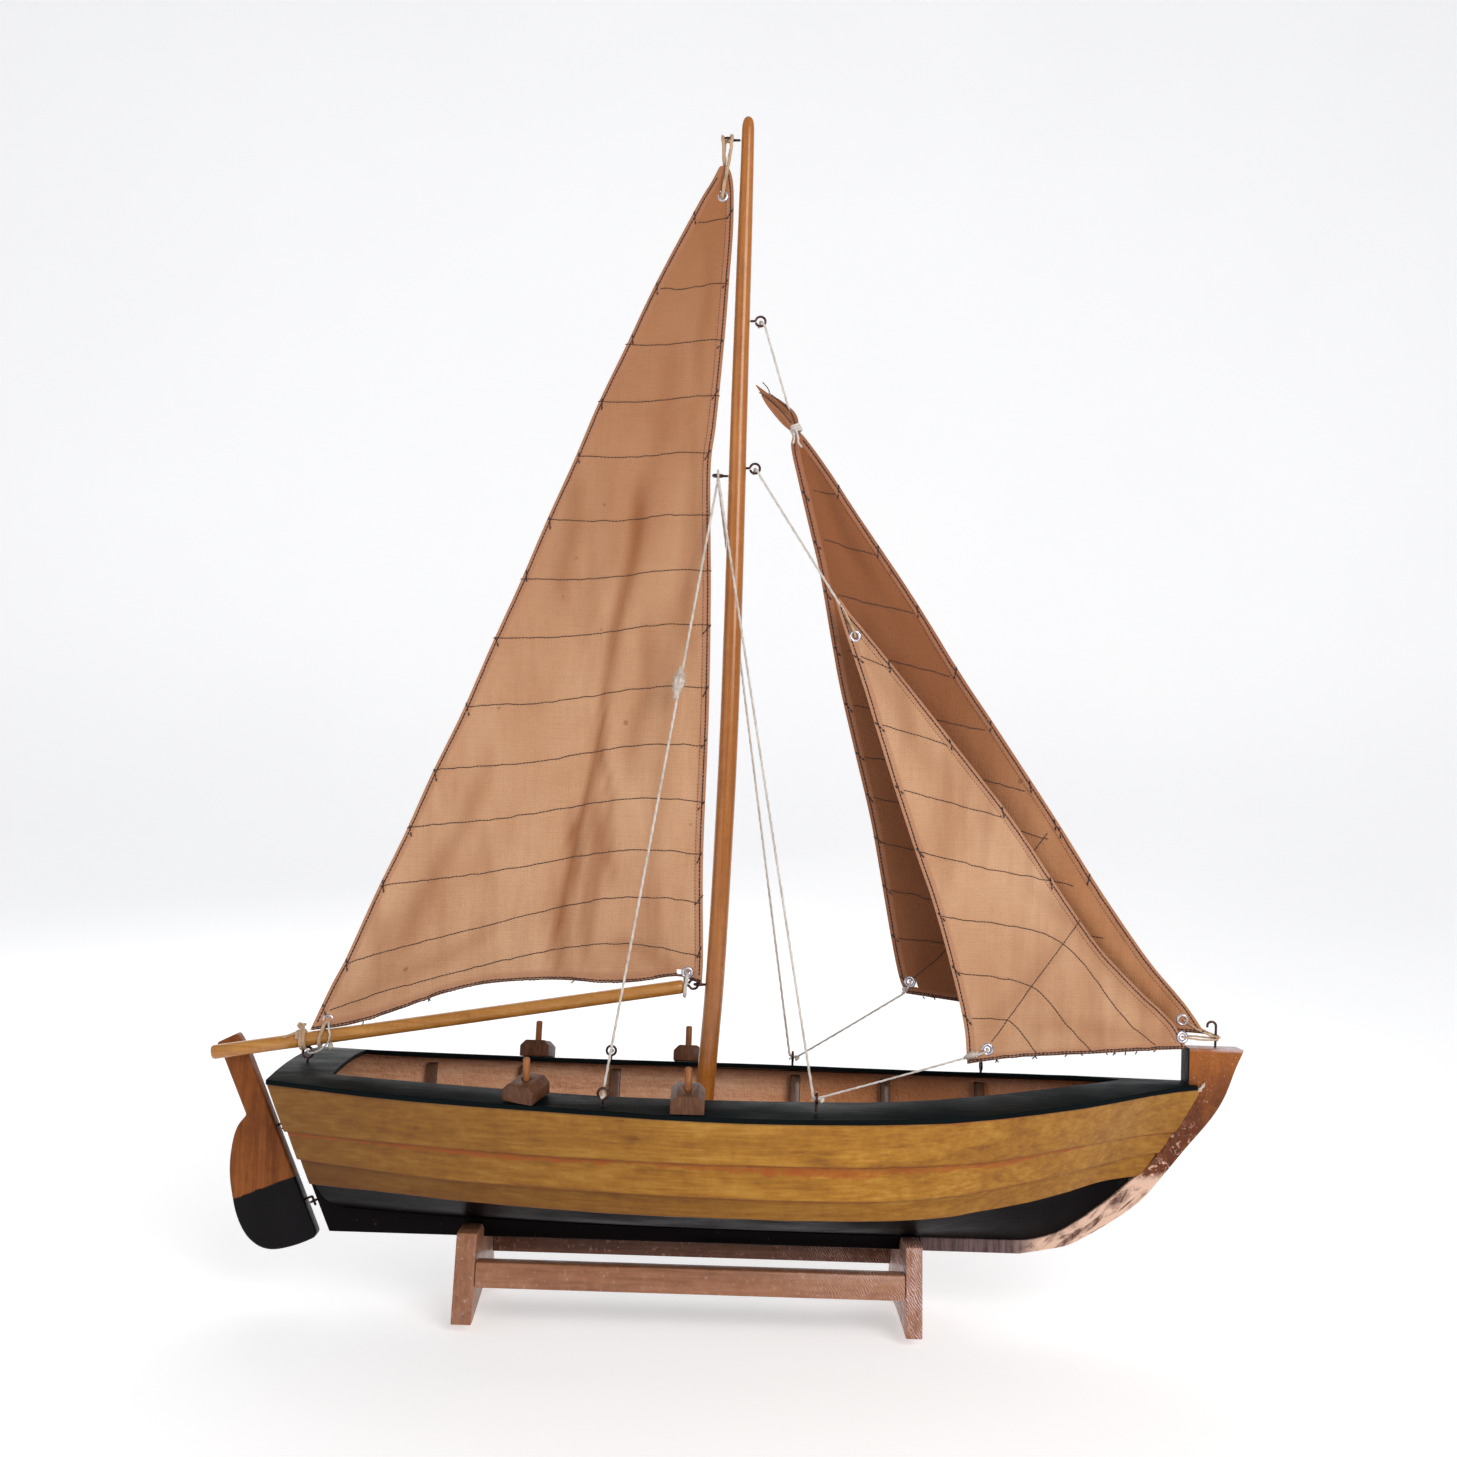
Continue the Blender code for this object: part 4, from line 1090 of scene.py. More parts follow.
class Rigging(Piece):
    """The six cords held taut between eyes; their knots are made with the lashings."""

    def shroud_route(self, side: Side, aft: Point, fore: Point) -> list:
        """Aft deck eye, through and over the mast eye, down to the fore deck eye.

        Args:
            side: Side of the boat.
            aft: Aft deck eye.
            fore: Fore deck eye.

        Returns:
            Points in millimetres.
        """
        s = side.value
        (ex, ey, ez), (fx, fy, fz), (mx, my, mz) = aft, fore, MAST_EYES["shroud_eye_mast"]
        return [(ex, ey + s * 2.2, ez - 0.3), (ex, ey, ez), (ex, ey - s * 1.5, ez + 0.9),
                (ex + 0.3, ey - s * 2.1, ez + 3.6), (mx, my + s * 0.75, mz - 2.4),
                (mx, my + s * 0.8, mz + 1.0), (mx, my + s * 1.6, mz + 1.9), (mx, my + s * 3.2, mz + 1.9),
                (mx, my + s * 4.1, mz + 0.8), (mx + 0.1, my + s * 4.3, mz - 1.0),
                (fx - 2.1, fy - s * 0.3, fz + 3.8), (fx - 1.4, fy, fz + 0.8), (fx, fy, fz),
                (fx + 2.2, fy, fz - 0.3)]

    def halyard_route(self, eye: Point, end: Point) -> list:
        """From a mast eye down to a sail's head."""
        x, y, z = eye
        return [(x - 0.2, y + 2.2, z - 0.3), (x, y, z), (x + 0.9, y - 1.5, z - 0.8),
                (x + 2.6, y - 1.8, z - 4.0), end]

    def sheet_route(self, start: Point, eye: Point) -> list:
        """From a sail's clew to a deck eye."""
        x, y, z = eye
        s = math.copysign(1, y)
        return [start, (x + 3.0, y - s, z + 0.7), (x + 1.2, y - s * 0.9, z + 0.35),
                (x - 1.8, y - s * 1.25, z - 1.0)]

    def cord(self, name: str, route: list, radius: float, sag: float) -> None:
        """Makes one stranded cord along straight legs with eased corners.

        Args:
            name: CAD node that it stands for.
            route: Points in millimetres.
            radius: Half thickness in millimetres.
            sag: Drop at the middle of its longest leg.
        """
        fine = []
        for a, b in zip(route, route[1:]):
            a, b = Vector(a), Vector(b)
            steps = max(1, round((b - a).length / 6.0))
            for i in range(steps):
                t = i / steps
                drop = sag * 4 * t * (1 - t) * ((b - a).length / 300)
                fine.append(a.lerp(b, t) - Vector((0, 0, drop)))
        fine.append(Vector(route[-1]))
        line = Path(fine).walk(0.42)
        cord = tube(name + "_twine", line, radius, sides=9, lobes=3, lay=5.0)
        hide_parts(name)
        self.settle(cord, self.palette.white, Body.HULL, Slot.TWINE)

    def build(self) -> None:
        """Makes the shrouds, halyards and sheets."""
        eye = {name: place for name, (place, _) in DECK_EYES.items()}
        self.cord("shroud_starboard", self.shroud_route(Side.STARBOARD, eye["shroud_eye_aft_starboard"],
                                                        eye["shroud_eye_fore_starboard"]), TWINE, 0.8)
        self.cord("shroud_port", self.shroud_route(Side.PORT, eye["shroud_eye_aft_port"],
                                                   eye["shroud_eye_fore_port"]), TWINE, 0.8)
        self.cord("jib_halyard", self.halyard_route(MAST_EYES["jib_halyard_eye"], (21.6, 1.6, 422.6)),
                  TWINE, 0)
        self.cord("staysail_halyard",
                  self.halyard_route(MAST_EYES["staysail_halyard_eye"], (48.2, -2.6, 334.4)),
                  TWINE, 0)
        self.cord("jib_sheet", self.sheet_route((84.6, 23.6, 148.2), eye["shroud_eye_fore_port"]),
                  TWINE * 0.8, 0.6)
        self.cord("staysail_sheet", self.sheet_route((108.0, -22.3, 124.6), eye["shroud_eye_fore_starboard"]),
                  TWINE * 0.8, 0.6)


@dataclass
class Lashing:
    """A short cord bent round fittings."""

    name: str
    body: Body
    route: list
    radius: float = 0.55
    beige: bool = False


class Lashings(Piece):
    """Knots, whippings and lashings at the corners of the sails, and dried glue on the cords."""

    def knot(self, name: str, centre: Point, size: float, run: Vector, body: Body, beige: bool = False,
             radius: float = 0.5) -> None:
        """Makes an overhand knot, drawn tight, with two short tails.

        Args:
            name: Piece name.
            centre: Middle of the knot in millimetres.
            size: Half width of the knot.
            run: Direction of the cord through it.
            body: Body that it rides on.
            beige: Whether it is the thicker beige cord.
            radius: Half thickness of the cord.
        """
        run = Vector(run).normalized()
        across = run.orthogonal().normalized()
        up = run.cross(across)
        loop = []
        for i in range(37):
            a = math.tau * i / 36 * 0.93
            x = (math.sin(a) + 2 * math.sin(2 * a)) / 3 * size
            y = (math.cos(a) - 2 * math.cos(2 * a)) / 3 * size
            loop.append(Vector(centre) + run * x * 1.15 + across * y + up * math.sin(3 * a) * size * 0.36)
        tail = loop[-1] + (across * 0.7 - run * 0.4) * size * 1.2
        loop.append(tail)
        obj = tube(name, Path(loop).walk(0.25), radius, sides=8, lobes=3, lay=3.6)
        colour = self.palette.beige if beige else self.palette.white
        self.settle(obj, colour, body, Slot.TWINE)

    def blob(self, name: str, points: list, radii: list, body: Body) -> None:
        """Makes a lumpy bead of dried glue along points.

        Args:
            name: Name of the piece.
            points: Middle line in millimetres.
            radii: Half thickness at each point.
            body: Body that carries it.
        """
        line = Path(points)
        table = [(i / (len(radii) - 1), r) for i, r in enumerate(radii)]
        steps = 26
        along = [line.at(i / steps) for i in range(steps + 1)]
        size = [smooth_at(table, i / steps) * (1 + 0.16 * wobble(i, 3, 1, 3.1)) for i in range(steps + 1)]
        obj = tube(name, along, size, sides=16)
        for v in obj.data.vertices:
            v.co += v.co.normalized() * 0.00022 * wobble(*(v.co / MM), 1.6)
        obj.data.shade_smooth()
        self.settle(obj, self.palette.glue, body, Slot.TWINE)

    def turns(self, centre: Vector, axis: Vector, radius: float, count: float, pitch: float,
              start: float = 0.0) -> list:
        """Points of a cord wound round a spar.

        Args:
            centre: Middle of the first turn.
            axis: Direction of the spar.
            radius: Radius of the turns.
            count: Number of turns.
            pitch: Advance per turn.
            start: Angle of the first point.

        Returns:
            Points in millimetres.
        """
        axis = axis.normalized()
        side = axis.cross(Vector((0, 0, 1))).normalized()
        up = side.cross(axis)
        steps = int(count * 18)
        pts = []
        for i in range(steps + 1):
            a = math.radians(start) + math.tau * count * i / steps
            lift = axis * (i / steps - 0.5) * pitch * count
            pts.append(centre + lift + (side * math.cos(a) + up * math.sin(a)) * radius)
        return pts

    def build(self) -> None:
        """Makes every lashing, knot and glue bead."""
        aft, fore = Vector((-243.4, -17.0, 115.2)), Vector((-24.0, -0.5, 151.3))
        run = (fore - aft).normalized()

        def on_boom(x: float) -> Vector:
            """Centre of the boom at a given x."""
            return aft + run * ((x - aft.x) / run.x)

        clew, tack, head = Vector((-190.9, -13.1, 130.7)), Vector((-22.4, -0.4, 156.8)), Vector((-18.6,
                                                                                                 -0.1, 539.6))
        outer = self.turns(on_boom(-202.2), run, 4.15, 2.6, 1.5, 20)
        items = [
            Lashing("masthead_lashing", Body.BOOM, [
                head + Vector((0, 1.6, -0.2)), head + Vector((0, -0.6, 0)), head + Vector((0.3, -1.9, 2.5)),
                (-17.2, -2.6, 549), (-15.4, -3.0, 561), (-14.9, -3.4, 567.4), (-14.9, -2.6, 569.1),
                (-15.4, -1.0, 568.6), (-16.8, 1.2, 568.2), (-18.2, 1.6, 567.0), (-18.6, 1.7, 561),
                (-18.2, 1.9, 554), (-18.5, 2.0, 546), head + Vector((0, 1.7, 1.2))], 0.85, True),
            Lashing("masthead_lashing_after", Body.BOOM, [
                (-17.9, -0.9, 556.4), (-18.4, -0.8, 560), (-18.9, -1.2, 565), (-19.2, -1.6, 568.6),
                (-19.6, -0.6, 569.3), (-19.4, 0.6, 568.6), (-18.8, 0.9, 563), (-18.2, 0.9, 557)], 0.75, True),
            Lashing("tack_lashing", Body.BOOM, [
                tack + Vector((0.2, 1.2, 0)), tack + Vector((0, -0.8, 0)), tack + Vector((-0.1, -2.0, -1.6)),
                (-23.0, -4.7, 151.4), (-23.2, -3.6, 147.9), (-23.3, -0.6, 146.7), (-23.4, 2.4, 148.6),
                (-23.5, 3.4, 151.6), (-23.4, 2.4, 154.9), tack + Vector((-0.2, 1.4, 0.6))], 0.8),
            Lashing("clew_lashing_outer", Body.BOOM, outer + [
                outer[-1] + Vector((2.0, 0.2, 1.8)), outer[-1] + Vector((4.2, 0.1, 2.6))], 0.8, True),
            Lashing("clew_lashing_tail", Body.BOOM, [
                on_boom(-202.6) + Vector((0, -1.0, 4.3)), on_boom(-205) + Vector((0, -1.5, 3.9)),
                on_boom(-207.5) + Vector((0, -2.6, 3.4)), on_boom(-209.8) + Vector((0, -3.4, 2.6))], 0.55,
                True),
            Lashing("clew_lashing_inner", Body.BOOM, [
                clew + Vector((0.4, 1.4, 0)), clew + Vector((0, -0.9, 0)), clew + Vector((-1.2, -2.2, -1.4)),
                on_boom(-193.6) + Vector((0, -4.15, -0.2)), on_boom(-193.9) + Vector((0, -3.0, -3.1)),
                on_boom(-194.1) + Vector((0, 0.2, -4.3)), on_boom(-194.0) + Vector((0, 3.6, -2.0)),
                on_boom(-193.6) + Vector((0, 4.0, 1.2)), on_boom(-192.8) + Vector((0, 2.4, 4.0)),
                clew + Vector((-0.4, 1.6, 0.6))], 0.8, True)]
        for item in items:
            line = Path(item.route).walk(0.3)
            obj = tube(item.name, line, item.radius, sides=9, lobes=3, lay=item.radius * 8)
            self.settle(obj, self.palette.beige if item.beige else self.palette.white, item.body, Slot.TWINE)
        self.mainsheet()
        self.knot("knot_head_lashing", (-18.4, 2.4, 540.4), 1.5, Vector((0, 0.3, 1)), Body.BOOM, True, 0.6)
        self.knot("knot_clew", (-203.0, -13.2, 128.2), 1.6, Vector((1, 0, 0.2)), Body.BOOM, True, 0.65)
        self.knot("knot_tack", (-23.0, 1.8, 157.4), 1.2, Vector((0, 0.2, 1)), Body.BOOM, False, 0.55)
        self.knot("knot_shroud_starboard", (-31.8, -21.6, 291.0), 0.95, Vector((0.2, 0.2, 1)), Body.HULL)
        self.blob("glue_shroud_starboard",
                  [(-32.6, -22.1, 288.6), (-31.6, -21.2, 293.6), (-30.8, -20.4, 298.0),
                                            (-30.2, -19.8, 303.6)], [0.7, 2.0, 3.1, 2.5, 0.9], Body.HULL)
        for side in Side:
            s = side.value
            for name, (place, turned_eye) in DECK_EYES.items():
                if not name.startswith("shroud") or place[1] * s < 0:
                    continue
                x, y, z = place
                at = (x + 2.4, y, z - 0.9) if turned_eye else (x, y + s * 2.4, z - 0.9)
                self.knot("knot_" + name, at, 1.0, Vector((0.4, 0.6, 0.3)), Body.HULL, False, 0.48)
        self.knot("knot_jib_sheet", (85.6, 22.4, 150.6), 1.3, Vector((0.6, 0.2, 0.6)), Body.HULL)
        self.knot("knot_staysail_sheet", (113.4, -22.2, 127.0), 1.5, Vector((1, 0.2, 0.3)), Body.HULL)
        self.knot("knot_jib_halyard_eye", (2.1, 2.2, 475.9), 0.95, Vector((0.2, 0.8, 0.4)), Body.HULL)
        self.knot("knot_staysail_halyard_eye", (1.8, 2.2, 402.8), 0.95, Vector((0.2, 0.8, 0.4)), Body.HULL)
        self.headsails()

    def mainsheet(self) -> None:
        """Makes the thin slack loop from the clew's ring to the stern eye."""
        route = [(-190.4, -11.6, 130.4), (-190.2, -14.4, 130.4), (-189.4, -17.2, 128.4),
                 (-188.6, -18.0, 124.8),
                 (-189.8, -17.6, 121.0), (-193.2, -16.4, 117.9), (-197.2, -14.6, 116.0),
                 (-199.5, -13.0, 115.8),
                 (-200.4, -11.2, 116.8)]
        line = Path(route).walk(0.3)
        obj = tube("mainsheet_loop", line, 0.42, sides=8, lobes=3, lay=3.4)
        obj.data.materials.append(self.palette.white)
        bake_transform(obj)
        self.made.append(obj.name)
        self.blob("glue_clew", [(-188.6, -15.6, 121.4), (-188.3, -16.6, 119.6), (-188.6, -16.4, 118.0)],
                  [0.5, 1.3, 0.6], Body.BOOM)

    def headsails(self) -> None:
        """Makes the lashings at the heads and tacks of the jib and staysail."""
        neck = Vector((21.5, 1.0, 424.5))
        ring = self.turns(neck, Vector((-0.55, 0, 1)), 2.5, 3.2, 1.3, 200)
        items = [
            Lashing("jib_head_whipping", Body.HULL, ring, 0.62),
            Lashing("jib_head_tail_long", Body.HULL, [ring[-1], (21.0, -1.9, 424.0), (22.4, -2.4, 420.6),
                                                      (22.8, -2.2, 417.6), (24.4, -2.4, 415.2)], 0.5),
            Lashing("jib_head_tail_short", Body.HULL, [ring[6], (20.2, -2.3, 422.4), (20.6, -2.6, 419.2),
                                                       (20.2, -2.4, 417.0)], 0.5),
            Lashing("staysail_head_lashing", Body.HULL, [
                (48.2, -2.8, 334.6), (49.6, -4.2, 331.4), (51.4, -4.6, 327.8), (53.0, -4.2, 324.4),
                (53.4, -2.4, 322.8), (52.6, -0.6, 323.6), (50.4, -0.2, 328.6), (48.8, -0.8, 333.0)], 0.62,
                True),
            Lashing("staysail_tack_lashing", Body.HULL, [
                (217.0, -0.8, 135.2), (217.6, -3.4, 135.2), (220.5, -3.6, 134.8), (226.5, -2.4, 134.2),
                (231.6, -1.4, 134.2), (234.0, -0.8, 134.4), (234.6, 0.2, 134.6), (233.6, 1.1, 134.8),
                (230.0, 0.6, 135.0), (223.0, -0.6, 135.6), (218.6, -1.2, 135.6)], 0.45, True),
            Lashing("jib_tack_lashing", Body.HULL, [
                (217.4, 2.8, 143.2), (218.2, 0.2, 143.2), (221.0, -0.2, 141.2), (226.0, 0.0, 138.2),
                (231.4, -0.6, 136.0), (233.8, -1.0, 135.8), (234.6, 0.2, 136.0), (233.4, 1.3, 136.2),
                (228.0, 1.9, 138.4), (221.6, 2.6, 141.8)], 0.45, True),
            Lashing("jib_clew_lashing", Body.HULL, [
                (88.0, 24.0, 154.8), (88.2, 21.0, 154.8), (87.2, 19.9, 152.6), (85.6, 21.4, 150.2),
                (84.6, 23.6, 148.4), (86.0, 25.0, 150.4), (87.6, 24.9, 153.4)], 0.5),
            Lashing("staysail_clew_lashing", Body.HULL, [
                (119.8, -18.0, 128.8), (119.8, -21.6, 128.8), (117.4, -23.0, 127.6), (113.6, -23.4, 126.4),
                (110.4, -23.0, 125.2), (108.2, -22.2, 124.6)], 0.5)]
        for item in items:
            obj = tube(item.name, Path(item.route).walk(0.3), item.radius, sides=9, lobes=3,
                       lay=item.radius * 8)
            self.settle(obj, self.palette.beige if item.beige else self.palette.white, item.body, Slot.TWINE)
        self.knot("knot_bow_hook", (234.6, 0.2, 134.9), 1.3, Vector((0.2, 1, 0)), Body.HULL, True, 0.45)
        self.blob("glue_stem_joint", [(223.6, -6.2, 110.2), (224.8, -6.5, 111.6), (226.6, -6.4, 114.2)],
                  [0.4, 1.0, 0.6, 0.9, 0.4], Body.HULL)
        self.blob("glue_staysail_clew", [(108.6, -22.4, 125.0), (111.6, -23.0, 126.2), (114.6, -23.2, 127.2)],
                  [0.6, 1.5, 1.7, 0.7], Body.HULL)


# ---- stitching ---------------------------------------------------------------
@dataclass
class StitchRun:
    """Thread stitches laid along surface paths by a node tree."""

    pitch: float = 2.0
    length: float = 2.1
    thread: float = 0.3

    def tree(self, material: Material) -> bpy.types.NodeTree:
        """Makes the node tree: resample each path and set one stitch on each point.

        Args:
            material: Finish of the stitches.

        Returns:
            The node tree.
        """
        tree = bpy.data.node_groups.new("stitch_run", "GeometryNodeTree")
        side = tree.interface
        side.new_socket("Geometry", in_out="INPUT", socket_type="NodeSocketGeometry")
        for name, kind in (("Pitch", "Float"), ("Stitch Length", "Float"), ("Thread Radius", "Float"),
                           ("Seed", "Int")):
            side.new_socket(name, in_out="INPUT", socket_type="NodeSocket" + kind)
        side.new_socket("Geometry", in_out="OUTPUT", socket_type="NodeSocketGeometry")

        def add(kind: str, inputs: dict, **settings) -> bpy.types.Node:
            """Adds a node to this tree."""
            return add_node(tree, kind, inputs, **settings)

        source = tree.nodes.new("NodeGroupInput").outputs
        curve = add("GeometryNodeMeshToCurve", {"Mesh": source["Geometry"]})
        spaced = add("GeometryNodeResampleCurve", {"Curve": curve.outputs[0], "Length": source["Pitch"]},
                     mode="LENGTH")
        tangent = add("GeometryNodeInputTangent", {})
        turn = add("FunctionNodeAlignRotationToVector", {"Vector": tangent.outputs[0]}, axis="Z")
        vary = add("FunctionNodeRandomValue", {2: 0.82, 3: 1.12, "Seed": source["Seed"]}, data_type="FLOAT")
        long = add("ShaderNodeMath", {0: source["Stitch Length"], 1: vary.outputs[1]}, operation="MULTIPLY")
        half = add("ShaderNodeMath", {0: long.outputs[0], 1: 0.5}, operation="MULTIPLY")
        size = add("ShaderNodeCombineXYZ", {"X": source["Thread Radius"], "Y": source["Thread Radius"],
                                            "Z": half.outputs[0]})
        bead = add("GeometryNodeMeshUVSphere", {"Segments": 6, "Rings": 5, "Radius": 1.0})
        soft = add("GeometryNodeSetShadeSmooth", {"Geometry": bead.outputs["Mesh"]})
        laid = add("GeometryNodeInstanceOnPoints", {"Points": spaced.outputs[0], "Instance": soft.outputs[0],
                                                    "Rotation": turn.outputs[0], "Scale": size.outputs[0]})
        real = add("GeometryNodeRealizeInstances", {"Geometry": laid.outputs[0]})
        done = add("GeometryNodeSetMaterial", {"Geometry": real.outputs[0], "Material": material})
        out = tree.nodes.new("NodeGroupOutput")
        tree.links.new(done.outputs[0], out.inputs["Geometry"])
        return tree

    def build(self, name: str, paths: list, material: Material) -> Object:
        """Lays the stitches along every path and returns them as one mesh.

        Args:
            name: Name of the piece.
            paths: Lines to sew along, in millimetres.
            material: Finish of the stitches.

        Returns:
            The stitches as one mesh.
        """
        verts, edges = [], []
        for path in paths:
            start = len(verts)
            verts += [Vector(p) * MM for p in path]
            edges += [(start + i, start + i + 1) for i in range(len(path) - 1)]
        mesh = bpy.data.meshes.new(name)
        mesh.from_pydata(verts, edges, [])
        obj = placed(name, mesh)
        tree = self.tree(material)
        laid = obj.modifiers.new("stitches", "NODES")
        laid.node_group = tree
        wanted = {"Pitch": self.pitch * MM, "Stitch Length": self.length * MM,
                  "Thread Radius": self.thread * MM, "Seed": SEED}
        for socket in tree.interface.items_tree:
            if socket.in_out == "INPUT" and socket.name in wanted:
                laid[socket.identifier] = wanted[socket.name]
        bake(obj)
        obj.data.name = name
        return obj


# ---- sails -------------------------------------------------------------------
@dataclass
class Crease:
    """A soft fold in the cloth between two spots (x, z), darkened along its line by stains and painted shade.
    """

    start: Spot
    end: Spot
    width: float
    depth: float
    # How much the fold darkens the cloth: stains and painted shade.
    stain_and_shade: float = 0.0

    def push(self, x: float, z: float) -> tuple:
        """Sideways push and darkening at a spot; the darkening stands for stains and painted shade in the
        fold.

        Args:
            x: Spot along the boat.
            z: Height of the spot.

        Returns:
            Push in millimetres and darkening from stains and painted shade.
        """
        ax, az = self.start
        dx, dz = self.end[0] - ax, self.end[1] - az
        t = ((x - ax) * dx + (z - az) * dz) / (dx * dx + dz * dz)
        off = ((x - ax) * dz - (z - az) * dx) / math.hypot(dx, dz)
        fade = ease((t + 0.12) / 0.35) * ease((1.12 - t) / 0.35)
        off += 1.6 * math.sin(t * 7)
        return (self.depth * fade * math.exp(-(off / self.width) ** 2),
                self.stain_and_shade * fade * math.exp(-(off / (self.width * 0.8)) ** 2))


@dataclass
class SailPlan:
    """One sail: its edges from foot to head, its foot from clew to tack, and its details."""

    name: str
    body: Body
    leech: list
    luff: list
    foot: list
    belly: float
    seams: list
    grommets: list
    creases: list
    panel_puff: float = 0.35
    hem: float = 3.8
    columns: int = 54
    rows: int = 190
    rests_on: tuple = ()
    loose_ends: int = 12


MAIN_SEAMS = [((-29.2, 525.8), (-17, 528.6)), ((-46.7, 491.1), (-14.9, 495.6)),
              ((-62.8, 462.7), (-16.4, 467)),
              ((-74.8, 433.3), (-17.4, 439.5)), ((-83.6, 406.3), (-21.6, 410.8)),
              ((-97.1, 374.6), (-18.3, 380.1)),
              ((-108.9, 344.8), (-17.4, 353.1)), ((-120.6, 315.6), (-16.9, 326.2)),
              ((-132, 282.3), (-18.7, 295.6)),
              ((-146.3, 251.1), (-18.2, 267.4)), ((-157.3, 223), (-17.7, 240.2)),
              ((-168.7, 195.1), (-18.3, 215.1)),
              ((-182, 158.6), (-18, 191.6)), ((-189.5, 136.3), (-16.6, 165.7))]
MAIN_SAGS = (-1, -1, -1, -1, -1, -1, -0.5, 0, 0.6, 1.2, 2.4, 2.8, 5.7, 7.8)


def bowed(seam: tuple, sag: float) -> list:
    """A seam between two spots as a soft S, bowed downward or upward in the middle.

    Args:
        seam: The seam's two (x, z) ends.
        sag: Drop at the middle in millimetres.

    Returns:
        Spots along the seam.
    """
    (ax, az), (bx, bz) = seam
    long = abs(bx - ax) / 100
    found = []
    for i in range(11):
        t = i / 10
        lift = (sag * 4 * t * (1 - t) - 1.5 * math.sin(math.tau * t ** 1.2)) * long
        found.append((ax + (bx - ax) * t, az + (bz - az) * t + lift))
    return found


MAINSAIL = SailPlan(
    "mainsail", Body.BOOM,
    [(-199.0, -13.6, 126.4), (-190, -13, 148), (-184.3, -12.6, 159.7), (-170.9, -11.6, 193.1),
     (-159, -10.7, 220.6), (-148, -9.8, 248.6), (-134.7, -8.8, 279.3), (-122.7, -7.9, 310.7),
     (-110.2, -7.0, 341.8), (-98.1, -6.1, 374.1), (-85.8, -5.1, 405.1), (-75.7, -4.4, 432.3),
     (-62.8, -3.4, 462.7), (-50.2, -2.5, 492.9), (-29.6, -0.9, 536.6), (-23.6, -0.5, 547.5),
     (-20.4, -0.2, 554.2)],
    [(-15.2, 1.6, 152.6), (-15.0, 0.8, 163.2), (-16.7, 0.1, 212.2), (-16.4, 0.1, 280.1), (-17.4, 0, 340),
     (-19.4, 0, 390), (-19.6, 0, 408), (-17.9, 0, 425), (-15.0, 0.1, 470), (-13.8, 0.3, 497.7),
     (-12.8, 0.4, 522.6), (-13.2, 0.3, 542.0), (-14.5, 0.2, 550.5), (-16.8, 0.1, 555.2)],
    [(-199.0, -13.6, 126.4), (-187.6, -12.8, 128.0), (-177.8, -12.1, 130.2), (-157.7, -10.6, 137.2),
     (-138, -9.1, 145), (-120.8, -7.8, 149.7), (-100, -6.2, 152.3), (-83.1, -4.9, 153), (-64, -3.5, 152.2),
     (-51.8, -2.6, 152.4), (-42, -1.6, 153.6), (-32, -0.6, 155.6), (-25, 0.4, 155.9), (-20, 1.4, 154.0),
     (-15.2, 1.6, 152.6)],
    -1.5, [bowed(seam, sag) for seam, sag in zip(MAIN_SEAMS, MAIN_SAGS)],
    [(-18.6, -0.1, 539.6), (-22.4, -0.4, 157.8), (-190.9, -13.1, 131.3)],
    [Crease((-84, 152), (-80, 236), 3.4, 2.0, 1.0), Crease((-70, 158), (-68, 240), 4.2, -1.8, 0.7),
     Crease((-78, 200), (-66, 300), 3.0, 1.6, 1.0), Crease((-65, 292), (-53, 396), 4.5, 1.4, 0.9),
     Crease((-160, 160), (-118, 262), 6.0, -1.3, 0.45), Crease((-58, 196), (-68, 268), 3.0, 0.8, 0.6),
     Crease((-52, 250), (-46, 330), 6.0, 1.0, 0.5), Crease((-40, 170), (-36, 330), 6.0, -1.2, 0.35),
     Crease((-88, 330), (-84, 400), 6.0, -1.1, 0.5), Crease((-52, 360), (-40, 470), 6.0, 1.0, 0.35),
     Crease((-26, 440), (-24, 520), 4.0, -0.8, 0.4), Crease((-188, 134), (-110, 180), 5.0, 1.0, 0.3),
     Crease((-24, 160), (-60, 172), 4.0, 1.2, 0.4), Crease((-180, 146), (-100, 240), 9.0, -1.2, 0.15),
     Crease((-28, 420), (-26, 300), 4.5, 0.8, 0.2)], rests_on=("boom",), loose_ends=4)

